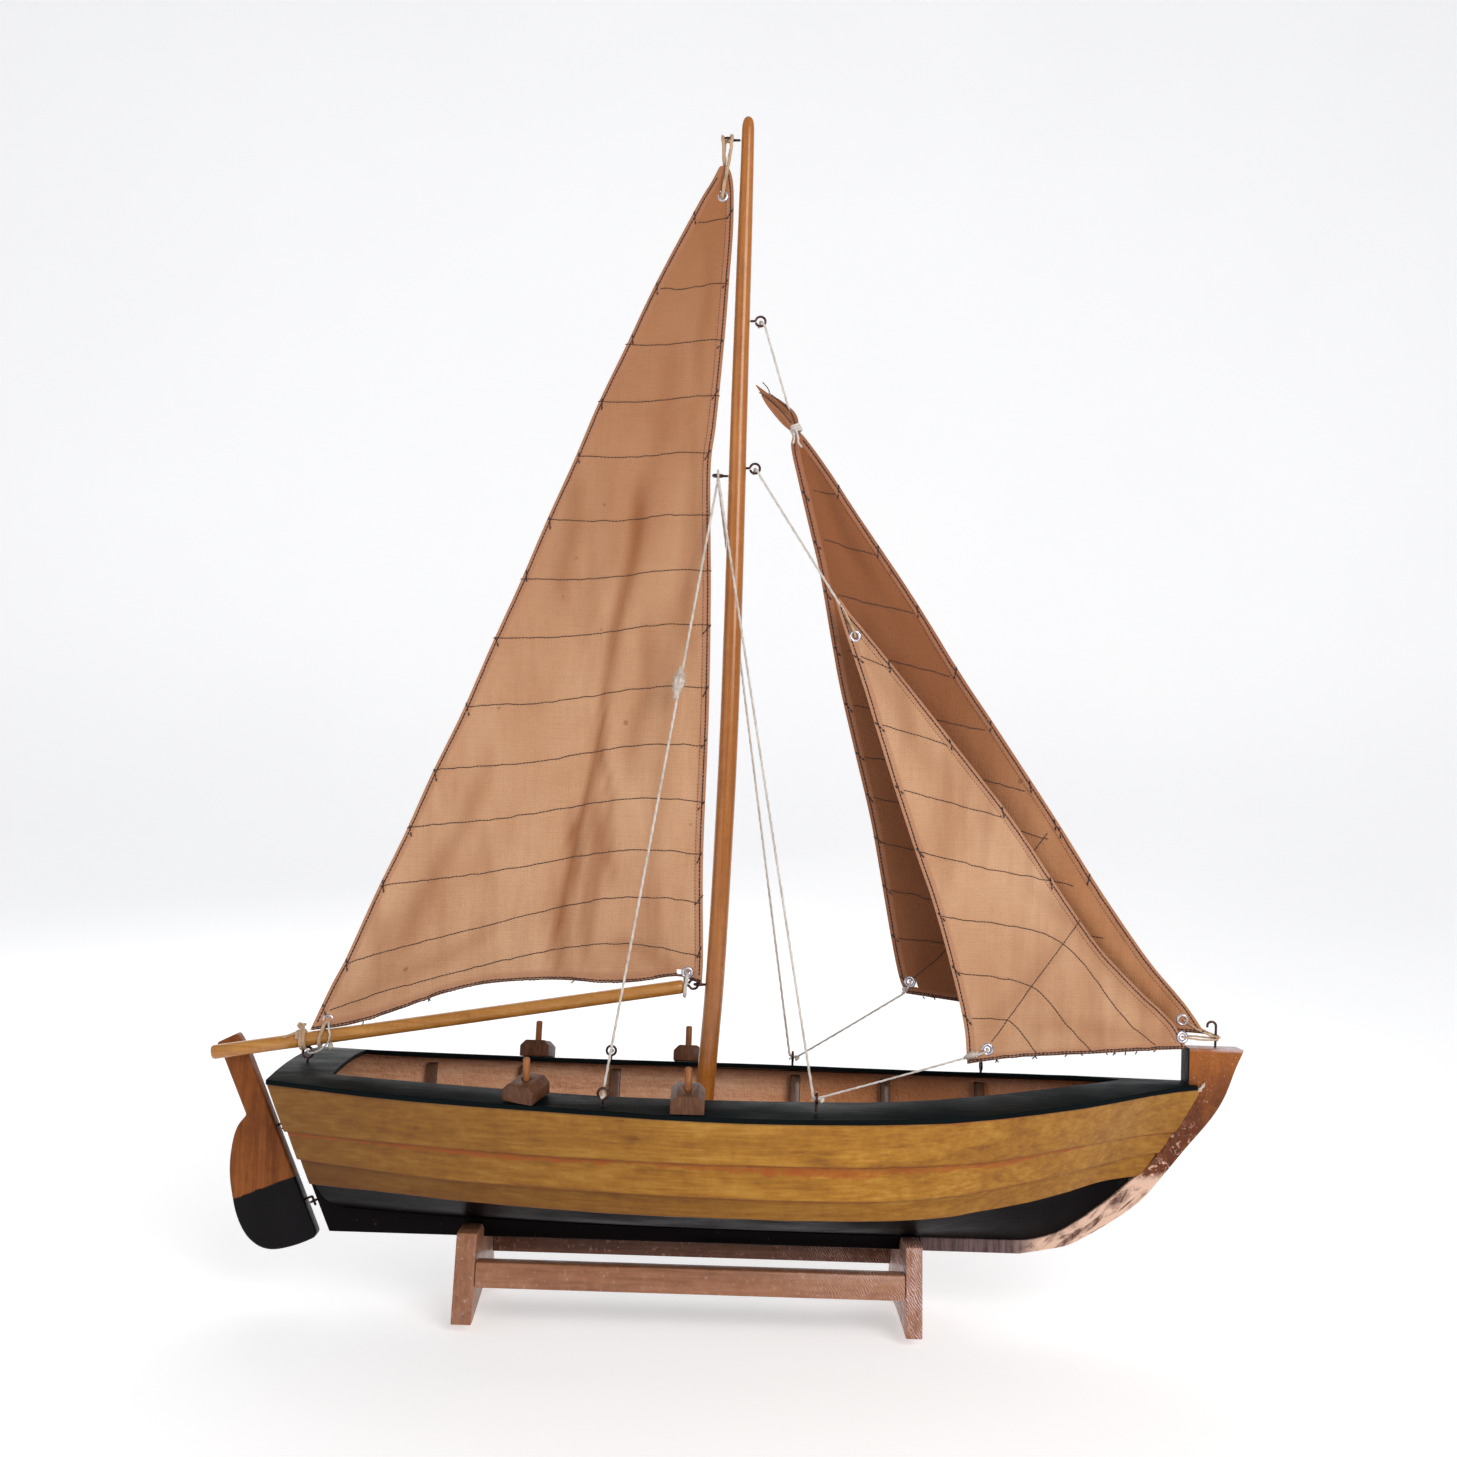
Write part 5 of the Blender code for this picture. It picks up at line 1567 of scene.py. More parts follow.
JIB = SailPlan(
    "jib", Body.HULL,
    [(86.3, 23.0, 148.8), (83.1, 22.7, 155.4), (78.8, 21.4, 172.1), (72.2, 18.8, 203.2), (65.5, 16.3, 234.2),
     (56.4, 13.8, 267.4), (47.9, 11.5, 299.0), (42.7, 9.6, 322.3), (35.7, 6.8, 355.3), (30, 5.3, 376.2),
     (23.4, 3.5, 400.4), (19.4, 2.2, 416.5), (20.4, 1.6, 422.6)],
    [(228.6, 0.2, 136.8), (219.6, 0.5, 149.5), (201.7, 0.9, 169.8), (177.4, 1.0, 202.9), (154.3, 0.8, 237.4),
     (126.1, 0.7, 278.2), (106.8, 0.7, 305.5), (81.3, 0.6, 344.1), (51.4, 0.6, 386), (36.9, 0.7, 406.8),
     (26.2, 0.9, 420.6), (23.4, 1.0, 423.4)],
    [(86.3, 23.0, 148.8), (108.8, 19.4, 146.4), (140, 13.8, 142.8), (175, 8.0, 139.6), (205, 3.2, 137.6),
     (228.6, 0.2, 136.8)],
    3.0,
    [[(32, 395), (41, 393)], [(38, 371), (62, 364)], [(46, 344), (81, 336)],
     [(52, 317), (76, 312), (100, 306)],
     [(56, 290), (86, 286), (118, 280)], [(62, 265), (100, 260), (138, 251)],
     [(67, 245), (110, 238), (150, 228)],
     [(71, 223), (110, 216), (163, 206)], [(77, 200), (112, 193), (178, 181)],
     [(82, 176), (104, 174), (128, 158), (140, 148)], [(89, 156), (103, 169), (126, 196), (150, 230)]],
    [(87.9, 22.0, 154.6), (217.7, 1.6, 143.0)],
    [Crease((24, 412), (60, 350), 4.0, 1.6, 0.5), Crease((30, 408), (84, 326), 5.0, -1.4, 0.3),
     Crease((92, 158), (150, 210), 6.0, 1.4, 0.3), Crease((210, 148), (120, 240), 5.0, -1.3, 0.4),
     Crease((214, 142), (140, 168), 6.0, 1.2, 0.2)], panel_puff=0.0, columns=50, rows=150)

STAYSAIL = SailPlan(
    "staysail", Body.HULL,
    [(110.2, -22.1, 122.2), (108.6, -20.3, 139.5), (101.4, -17.3, 168.3), (93, -14.7, 196.4),
     (85.1, -12.9, 217.8), (73.9, -10.2, 249.7), (62.9, -7.2, 282.9), (58.6, -6.0, 296.4),
     (52.1, -4.4, 314.8),
     (46.4, -2.8, 331.0), (43.2, -1.9, 341.0)],
    [(219.1, -2.6, 129.6), (212, -2.6, 141.8), (195.1, -2.8, 157.2), (177, -3.2, 175.2), (163.8, -3.0, 192.2),
     (132.4, -2.1, 236.7), (106.5, -1.9, 268.6), (79, -1.9, 301.5), (58.1, -1.9, 325.9), (50.4, -1.9, 334.6),
     (45.2, -1.8, 341.4)],
    [(110.2, -22.1, 122.2), (130, -18.4, 125.0), (152.3, -14.6, 126.5), (176.3, -10.1, 127.6),
     (206.8, -4.6, 129.2), (219.1, -2.6, 129.6)],
    -2.5,
    [[(57, 313), (70, 308)], [(68, 280), (99, 272)], [(79, 249), (126, 238)],
     [(87, 220), (119, 213), (151, 208)],
     [(98, 190), (154, 180), (189, 142), (202, 132)], [(106, 164), (141, 158), (160, 139), (170, 129)],
     [(113, 143), (130, 142), (143, 128)], [(122, 133), (142, 160), (166, 190)]],
    [(53.2, -3.2, 323.1), (119.7, -20.0, 128.9), (216.4, -3.0, 135.3)],
    [Crease((56, 318), (100, 250), 6.0, -1.5, 0.3), Crease((118, 134), (160, 186), 5.0, -1.2, 0.3),
     Crease((208, 142), (140, 206), 5.0, -1.6, 0.35), Crease((212, 136), (140, 140), 5.0, 1.0, 0.25)],
    panel_puff=0.0, columns=50, rows=140)


class Sail(Piece):
    """A cotton sail: cut and sewn cloth with hems, panel seams, ring eyelets and loose threads."""

    def __init__(self, palette: Palette, plan: SailPlan) -> None:
        super().__init__(palette)
        self.plan = plan
        self.leech, self.luff, self.foot = Path(plan.leech), Path(plan.luff), Path(plan.foot)
        self.random = random.Random(SEED + len(plan.name))

    def surface(self, s: float, t: float) -> tuple:
        """Point and fold darkening (stains and painted shade) on the sail's middle surface, s from leech to
        luff, t from foot to head.

        Args:
            s: Way from leech (0) to luff (1).
            t: Way from foot (0) to head (1).

        Returns:
            Point and darkening from stains and painted shade.
        """
        plan = self.plan
        low_a, low_b = self.leech.at(0), self.luff.at(0)
        p = self.leech.at(t).lerp(self.luff.at(t), s)
        p += (self.foot.at(s) - low_a.lerp(low_b, s)) * (1 - t) ** 3
        belly = math.sin(math.pi * s) * math.sin(math.pi * min(t + 0.15, 1.0))
        push, stain_and_shade = plan.belly * belly, 0.0
        inner = ease(min(s, 1 - s) / 0.12) * ease(t / 0.05)
        for crease in plan.creases:
            move, mark = crease.push(p.x, p.z)
            push += move * inner
            stain_and_shade += mark
        push += inner * (0.7 * wobble(p.x, 7, p.z, 42) + 0.3 * wobble(p.x, 3, p.z, 15))
        push += 0.25 * wobble(p.x * 0.4, 1, p.z, 9) * (1 - inner)
        if plan.panel_puff:
            push -= plan.panel_puff * inner * self.puff(p)
        return p + Vector((0, push, 0)), clamp(stain_and_shade)

    def puff(self, p: Vector) -> float:
        """How far a panel swells between two straight seams."""
        marks = []
        for (ax, az), (bx, bz) in MAIN_SEAMS:
            marks.append(az + (bz - az) * clamp((p.x - ax) / (bx - ax)))
        for high, low in zip(marks, marks[1:]):
            if low <= p.z <= high:
                return math.sin(math.pi * (p.z - low) / (high - low)) ** 0.7
        return 0.5

    def stations(self, width: float) -> list:
        """Fractions across a row, closer together near both hems.

        Args:
            width: Width of the row in millimetres.

        Returns:
            Fractions from 0 to 1.
        """
        hem = self.plan.hem
        marks = [0.0, 0.35, hem * 0.35, hem * 0.72, hem, hem * 1.25]
        squeeze = min(1.0, width / (hem * 5))
        left = [m * squeeze / width for m in marks]
        inner = self.plan.columns - 2 * len(left)
        span = 1 - 2 * left[-1]
        middle = [left[-1] + span * (i + 1) / (inner + 1) for i in range(inner)]
        return left + middle + [1 - m for m in reversed(left)]

    def build(self) -> None:
        """Makes the cloth, its stitching and its fittings."""
        plan = self.plan
        rows = [0.0, 0.001, 0.003, 0.006, 0.009]
        rows += [0.009 + (1 - 0.009) * (i + 1) / (plan.rows - 5) for i in range(plan.rows - 5)]
        grid, stain_and_shade_amounts, hems, spots = [], [], [], []
        for t in rows:
            width = max((self.leech.at(t) - self.luff.at(t)).length, 1.0)
            height = t * self.luff.length
            for s in self.stations(width):
                point, stain_and_shade = self.surface(s, t)
                edge = min(s * width, (1 - s) * width, height)
                grid.append(point)
                stain_and_shade_amounts.append(stain_and_shade)
                hems.append(1 - ease((edge - plan.hem) / 0.5))
                spots.append((point.x, point.z))
        self.cloth = self.thicken(grid, stain_and_shade_amounts, hems, spots, len(rows))
        self.tree = BVHTree.FromPolygons([v.co / MM for v in self.cloth.data.vertices],
                                         [list(p.vertices) for p in self.cloth.data.polygons])
        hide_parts(plan.name)
        finish = self.palette.jib if plan is JIB else self.palette.cloth
        self.settle(self.cloth, finish, plan.body, Slot.CLOTH)
        self.dress()

    def thicken(self, grid: list, stain_and_shade_amounts: list, hems: list, spots: list, count: int) -> Object:
        """Gives the middle surface two faces and a closed edge, double thickness in the hems.

        Args:
            grid: Rows of points.
            stain_and_shade_amounts: Darkening at each point, from stains and painted shade in the folds.
            hems: Hem share at each point.
            spots: UV place of each point.
            count: Points in a row.

        Returns:
            The cloth.
        """
        n = self.plan.columns
        front, back = [], []
        for r in range(count):
            for c in range(n):
                across = grid[r * n + min(c + 1, n - 1)] - grid[r * n + max(c - 1, 0)]
                up = grid[min(r + 1, count - 1) * n + c] - grid[max(r - 1, 0) * n + c]
                normal = across.cross(up).normalized()
                half = 0.22 + 0.2 * hems[r * n + c]
                if c in (0, n - 1) or r in (0, count - 1):
                    half *= 0.55
                front.append(grid[r * n + c] + normal * half)
                back.append(grid[r * n + c] - normal * half)
        size = len(grid)
        faces = []
        keep = self.holes(grid)
        for r in range(count - 1):
            for c in range(n - 1):
                a = r * n + c
                quad = [a, a + 1, a + n + 1, a + n]
                if all(keep[i] for i in quad):
                    faces.append(quad)
                    faces.append([i + size for i in reversed(quad)])
        used = {}
        for face in faces:
            if face[0] < size:
                for i, j in zip(face, face[1:] + face[:1]):
                    used[(i, j)] = used.get((i, j), 0) + 1
        for (i, j) in list(used):
            if (j, i) not in used:
                faces.append([j, i, i + size, j + size])
        obj = make_object(self.plan.name + "_cloth", front + back, faces)
        obj.data.shade_smooth()
        set_uv(obj, spots * 2)
        set_values(obj, "crease", stain_and_shade_amounts * 2)
        set_values(obj, "hem", hems * 2)
        self.area = sum(p.area for p in obj.data.polygons) / 2
        return obj

    def holes(self, grid: list) -> list:
        """Which grid points stay, leaving out those inside a ring eyelet."""
        rings = [Vector(g) for g in self.plan.grommets]
        return [all(math.hypot(p.x - g.x, p.z - g.z) > 1.25 for g in rings) for p in grid]

    def skin(self, x: float, z: float, face: int, lift: float = 0.12) -> Vector | None:
        """Point on the sail's starboard (-1) or port (+1) face, or None past its edge."""
        hit, normal, _, _ = self.tree.ray_cast(Vector((x, face * 400, z)), Vector((0, -face, 0)))
        if hit is None:
            return None
        if normal.y * face < 0:
            normal = -normal
        return hit + normal * lift

    def laid(self, spots: list, wave: float = 0.0) -> list:
        """Projects a line of (x, z) spots onto both faces, with a slight hand-sewn wave.

        Args:
            spots: Line of (x, z) spots.
            wave: Size of the sewing's wave in millimetres.

        Returns:
            One path on each face.
        """
        flat = Path([(x, 0, z) for x, z in spots]).walk(1.0)
        kept = []
        for face in (-1, 1):
            run = []
            for k, p in enumerate(flat):
                shift = wave * wobble(p.x, 5, p.z, 6.5) + wave * 0.5 * wobble(p.x, 9, p.z, 2.6)
                point = self.skin(p.x, p.z + shift, face)
                if point is not None:
                    run.append(point)
                elif len(run) > 3:
                    kept.append(run)
                    run = []
            if len(run) > 3:
                kept.append(run)
        return kept

    def inset(self, edge: Path, depth: float, towards: Vector, low: float = 0.0, high: float = 1.0) -> list:
        """A line of spots `depth` inside an edge.

        Args:
            edge: Edge to follow.
            depth: Distance inside it in millimetres.
            towards: A point inside.
            low: Start along the edge, 0 to 1.
            high: End along the edge, 0 to 1.

        Returns:
            The (x, z) spots.
        """
        spots = []
        steps = 60
        for i in range(steps + 1):
            t = low + (high - low) * i / steps
            p, q = edge.at(t), edge.at(min(t + 0.01, 1.0))
            o = edge.at(max(t - 0.01, 0.0))
            run = Vector((q.x - o.x, 0, q.z - o.z)).normalized()
            side = Vector((run.z, 0, -run.x))
            if side.dot(Vector((towards.x - p.x, 0, towards.z - p.z))) < 0:
                side = -side
            spots.append((p.x + side.x * depth, p.z + side.z * depth))
        return spots

    def dress(self) -> None:
        """Adds seams, hem lines, thread ends and eyelets."""
        plan = self.plan
        centre = self.surface(0.5, 0.35)[0]
        seams, edges = [], []
        for seam in plan.seams:
            seams += self.laid(seam, 0.55)
            edges += self.ticks(seam)
        for edge, depth, low, high in ((self.leech, 1.6, 0.012, 0.985), (self.luff, 1.6, 0.012, 0.985),
                                       (self.foot, 1.3, 0.01, 0.99)):
            edges += self.laid(self.inset(edge, depth, centre, low, high), 0.35)
        edges += self.laid(self.inset(self.foot, 0.45, centre, 0.01, 0.99), 0.5)
        edges += self.frays(centre)
        fold = self.laid(self.inset(self.luff, plan.hem, centre, 0.02, 0.96), 0.15)
        run = StitchRun(1.7, 1.95, 0.26).build(plan.name + "_seam_stitches", seams, self.palette.seam)
        self.settle(run, self.palette.seam, plan.body, Slot.CLOTH)
        run = StitchRun(1.9, 2.1, 0.34).build(plan.name + "_edge_stitches", edges, self.palette.edge)
        self.settle(run, self.palette.edge, plan.body, Slot.CLOTH)
        run = StitchRun(1.6, 1.2, 0.13).build(plan.name + "_fold_line", fold, self.palette.seam)
        self.settle(run, self.palette.seam, plan.body, Slot.CLOTH)
        for number, place in enumerate(plan.grommets, 1):
            self.eyelet(number, Vector(place))

    def ticks(self, seam: list) -> list:
        """Thread ends that cross the hem at both ends of a seam.

        Args:
            seam: Spots along the seam.

        Returns:
            Short lines of spots.
        """
        found = []
        first, last = Vector((seam[0][0], 0, seam[0][1])), Vector((seam[-1][0], 0, seam[-1][1]))
        for end, edge in ((first, self.leech), (last, self.luff)):
            near = min((edge.at(i / 80) for i in range(81)),
                       key=lambda p: (p.x - end.x) ** 2 + (p.z - end.z) ** 2)
            if (Vector((near.x, 0, near.z)) - end).length > 12:
                continue
            place = min(range(81), key=lambda i: (edge.at(i / 80) - near).length) / 80
            run = edge.at(min(place + 0.01, 1)) - edge.at(max(place - 0.01, 0))
            run = Vector((run.x, 0, run.z)).normalized()
            inward = Vector((end.x - near.x, 0, end.z - near.z))
            inward = inward - run * inward.dot(run)
            inward = (inward.normalized() if inward.length > 0.3
                      else Vector((1 if edge is self.leech else -1, 0, 0)))
            middle = Vector((near.x, 0, near.z)) + inward * 1.9
            turn = self.random.uniform(0.35, 0.75)
            lean = run * math.cos(turn) - inward * math.sin(turn)
            reach = self.random.uniform(1.7, 2.4)
            for face in (-1, 1):
                line = [self.skin(*(middle + lean * reach * (i / 3 - 1)).xz, face, 0.3) for i in range(7)]
                line = [p for p in line if p is not None]
                if len(line) > 2:
                    found.append(line)
        return found

    def frays(self, centre: Vector) -> list:
        """Short loose thread ends along the foot.

        Args:
            centre: Middle of the tuft; not used.

        Returns:
            Paths in millimetres.
        """
        found = []
        for _ in range(self.plan.loose_ends):
            t = self.random.uniform(0.03, 0.97)
            p, q = self.foot.at(t), self.foot.at(min(t + 0.01, 1.0))
            run = (q - p).normalized()
            down = Vector((0, 0, -1)) - run * run.dot(Vector((0, 0, -1)))
            tip = p + down.normalized() * self.random.uniform(0.3, 0.9) + run * self.random.uniform(-2.2, 2.2)
            tip += Vector((0, self.random.uniform(-0.6, 0.6), 0))
            found.append([p - down * 0.9, p, p.lerp(tip, 0.5) + run * 0.2, tip])
        return found

    def eyelet(self, number: int, place: Vector) -> None:
        """Makes one pressed ring eyelet with a flange on each face.

        Args:
            number: Number in the piece's name.
            place: Middle of the ring.
        """
        tilt = self.tree.find_nearest(place)[1]
        near = self.tree.find_nearest(place)[0]
        axis = Vector((tilt.x, tilt.y, tilt.z)) if abs(tilt.y) > 0.6 else Vector((0, 1, 0))
        centre = Vector((place.x, near.y, place.z))
        profile = []
        for i in range(16):
            a = math.tau * i / 16
            profile.append((2.25 + 0.85 * math.cos(a), 0.78 * math.sin(a)))
        ring = turned("%s_eyelet_%d" % (self.plan.name, number), profile, centre, axis)
        self.settle(ring, self.palette.silver, self.plan.body, Slot.CLOTH)


class JibTip(Piece):
    """The twisted tail of cloth above the lashing at the jib's head."""

    def leaf(self, name: str, spine: list, widths: list, curl: float) -> Object:
        """Makes one folded strip of cloth along a spine.

        Args:
            name: Piece name.
            spine: Points from the lashing to the tip.
            widths: Widths along it.
            curl: How far its edges turn towards the viewer.

        Returns:
            The new strip.
        """
        path = Path(spine)
        table = [(i / (len(widths) - 1), w) for i, w in enumerate(widths)]
        rings, stain_and_shade_amounts = [], []
        steps, across = 44, 10
        for k in range(steps + 1):
            t = k / steps
            p = path.at(t)
            run = (path.at(min(t + 0.02, 1)) - path.at(max(t - 0.02, 0))).normalized()
            side = run.cross(Vector((0, 1, 0))).normalized()
            width = smooth_at(table, t)
            face, back = [], []
            for i in range(across + 1):
                u = i / across - 0.5
                bend = curl * (1 - 4 * u * u) + 0.35 * math.sin(u * 9 + t * 5)
                spot = p + side * u * width + Vector((0, -bend * min(width / 5, 1), 0))
                spot += Vector((0, 0.4 * wobble(spot.x, 2, spot.z, 5), 0))
                face.append(spot + Vector((0, -0.22, 0)))
                back.append(spot + Vector((0, 0.22, 0)))
            rings.append(face + list(reversed(back)))
            # Darkening across the folded strip: stains and painted shade.
            stain_and_shade_amounts += [0.2 + 0.5 * abs(math.sin(i * 0.9 + t * 4)) for i in range(2 * (across + 1))]
        verts, faces = loft(rings)
        obj = make_object(name, verts, faces)
        set_uv(obj, [(v[0], v[2]) for v in verts])
        set_values(obj, "crease", stain_and_shade_amounts)
        set_values(obj, "hem", [0.3] * len(verts))
        return obj

    def build(self) -> None:
        """Makes the tip's two strips, their stitched edges and a loose thread."""
        back = self.leaf("jib_tip_back",
                         [(21.6, 1.4, 423.4), (19.6, 1.6, 430), (13.4, 1.6, 436.4), (6.2, 1.4, 441.2),
                                          (1.2, 1.2, 446)], [2.4, 5.4, 4.6, 3.0, 0.5], 0.9)
        front = self.leaf("jib_tip_front", [(21.0, 0.2, 423.4), (17.4, -0.2, 427.6), (12.2, -0.3, 432.6),
                                            (7.4, 0.0, 437.0), (4.0, 0.4, 441.0)],
                                            [2.4, 5.0, 4.6, 2.8, 0.6], 1.1)
        for obj in (back, front):
            self.settle(obj, self.palette.cloth_dark, Body.HULL, Slot.CLOTH)
        lines = [[(18.6, -1.3, 427.8), (15.2, -1.4, 431.6), (10.6, -1.2, 436.2), (5.6, -0.7, 440.4),
                  (3.4, -0.4, 441.6)],
                 [(21.4, -0.6, 426.4), (19.0, -0.4, 432.2), (13.6, -0.2, 437.6), (8.0, 0.0, 441.8)],
                 [(7.6, -0.2, 443.0), (6.8, -0.4, 444.4), (4.8, -0.2, 446.6)]]
        paths = [Path(line).walk(0.8) for line in lines]
        stitches = StitchRun(1.5, 1.9, 0.3).build("jib_tip_stitches", paths, self.palette.edge)
        self.settle(stitches, self.palette.edge, Body.HULL, Slot.CLOTH)


# ---- hull --------------------------------------------------------------------
DECK = [(-209, 48.7, 106.9), (-190, 51.4, 105.6), (-164, 55.0, 104.1), (-140, 58.5, 103.2),
        (-114, 61.8, 102.6),
        (-85, 65.0, 102.0), (-57, 67.8, 101.6), (-35, 70.0, 101.2), (-13, 71.2, 101.0), (6, 71.6, 100.9),
        (26, 71.1, 101.0), (43, 69.8, 101.1), (60, 67.8, 101.2), (78, 65.0, 101.5), (97, 61.3, 101.9),
        (121.6, 53.7, 103.2), (141, 46.3, 104.5), (161.5, 37.4, 105.9), (180, 27.6, 107.5),
        (199, 16.4, 109.1),
        (212, 10.6, 110.1), (223.2, 6.9, 110.9)]
LAPS = [(-200.6, 211.5, 0.955,
         [(-202, 85.5), (-164, 84.0), (-123, 82.7), (-73, 81.8), (-17, 81.8), (27, 81.9), (61, 81.6),
          (98, 82.4),
          (117, 83.0), (162, 87.2), (212, 90.4)]),
        (-195.2, 203.5, 0.865,
         [(-196, 72.4), (-164, 70.0), (-124, 67.5), (-73, 66.4), (-12, 65.8), (27, 65.6), (62, 65.3),
          (99, 66.7),
          (118, 68.8), (152, 73.4), (193, 78.8), (204, 80.6)]),
        (-190.3, 193.0, 0.760,
         [(-191, 60.4), (-155, 58.8), (-114, 56.8), (-57, 55.3), (-12, 55.3), (28, 55.0), (68, 54.8),
          (100, 55.8), (110, 57.0), (142, 60.9), (178, 67.4), (194, 69.4)])]
KEEL_LINE = [(-183, 43.5), (-150, 41.4), (-110, 40.0), (-60, 38.9), (0, 38.3), (94, 37.9), (138, 37.9),
             (147, 38.9), (159, 43.0), (177.3, 55.4), (190.6, 66.6)]


STEM_INNER = [(92.6, 37.5), (139, 37.5), (147.6, 38.4), (159.8, 42.6), (178.1, 55.1), (191.6, 66.4),
              (197.6, 71.6), (212.6, 90.6), (220.1, 102.8), (224.2, 110.0), (224.3, 111.2)]
STEM_OUTER = [(245.7, 130.4), (242.0, 122.0), (236.6, 107.8), (230.7, 97.9), (217.8, 82.3), (207.1, 68.9),
              (198.5, 58.9), (189.9, 51.7), (175.9, 42.6), (162.9, 35.7), (150.9, 33.0), (140.0, 31.0),
              (92.6, 31.0)]
RUDDER_LEAN = 0.438
STEM_FACE = [(z, x) for x, z in STEM_INNER[2:]]
RUDDER = [(-229.4, 110.8), (-234.2, 119.3), (-236.2, 122.3), (-245.7, 117.5), (-241.4, 109.7),
          (-229.9, 84.0), (-234.0, 78.2), (-236.1, 69.5), (-236.6, 57.9), (-234.9, 46.5), (-231.9, 35.8),
          (-227.1, 27.4), (-221.0, 22.6), (-214.5, 21.2), (-205.1, 23.1), (-195.2, 27.3), (-193.8, 29.6),
          (-199.5, 42.6)]


class HullLines:
    """The hull's sheer, laps and keel line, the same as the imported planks."""

    def at(self, k: int, u: float) -> Vector:
        """Point on the starboard side: sheer (0), laps (1 to 3) or keel line (4), u from stern to stem.

        Args:
            k: Line, counted from the sheer down.
            u: Way from stern (0) to stem (1).

        Returns:
            Point in millimetres.
        """
        if k == 4:
            x = -183.0 + u * 373.6
            return Vector((x, -6.4, smooth_at(KEEL_LINE, x)))
        deck_x = -209.0 + u * 432.2
        half = max(smooth_at(DECK, deck_x, 1) - 1.2, 6.4)
        if k == 0:
            return Vector((deck_x, -half, smooth_at(DECK, deck_x, 2) - 0.3))
        aft, fore, ratio, heights = LAPS[k - 1]
        x = aft + u * (fore - aft)
        blend = max(0.0, (u - 0.8) / 0.2) ** 2
        return Vector((x, -max(half * (ratio + (1 - ratio) * blend), 6.4), smooth_at(heights, x)))


@dataclass
class Strake:
    """One plank of the clinker side."""

    name: str
    order: int
    thick: float = 1.5
    inset: float = 2.2
    over: float = 2.0
    stations: int = 120
    across: int = 9


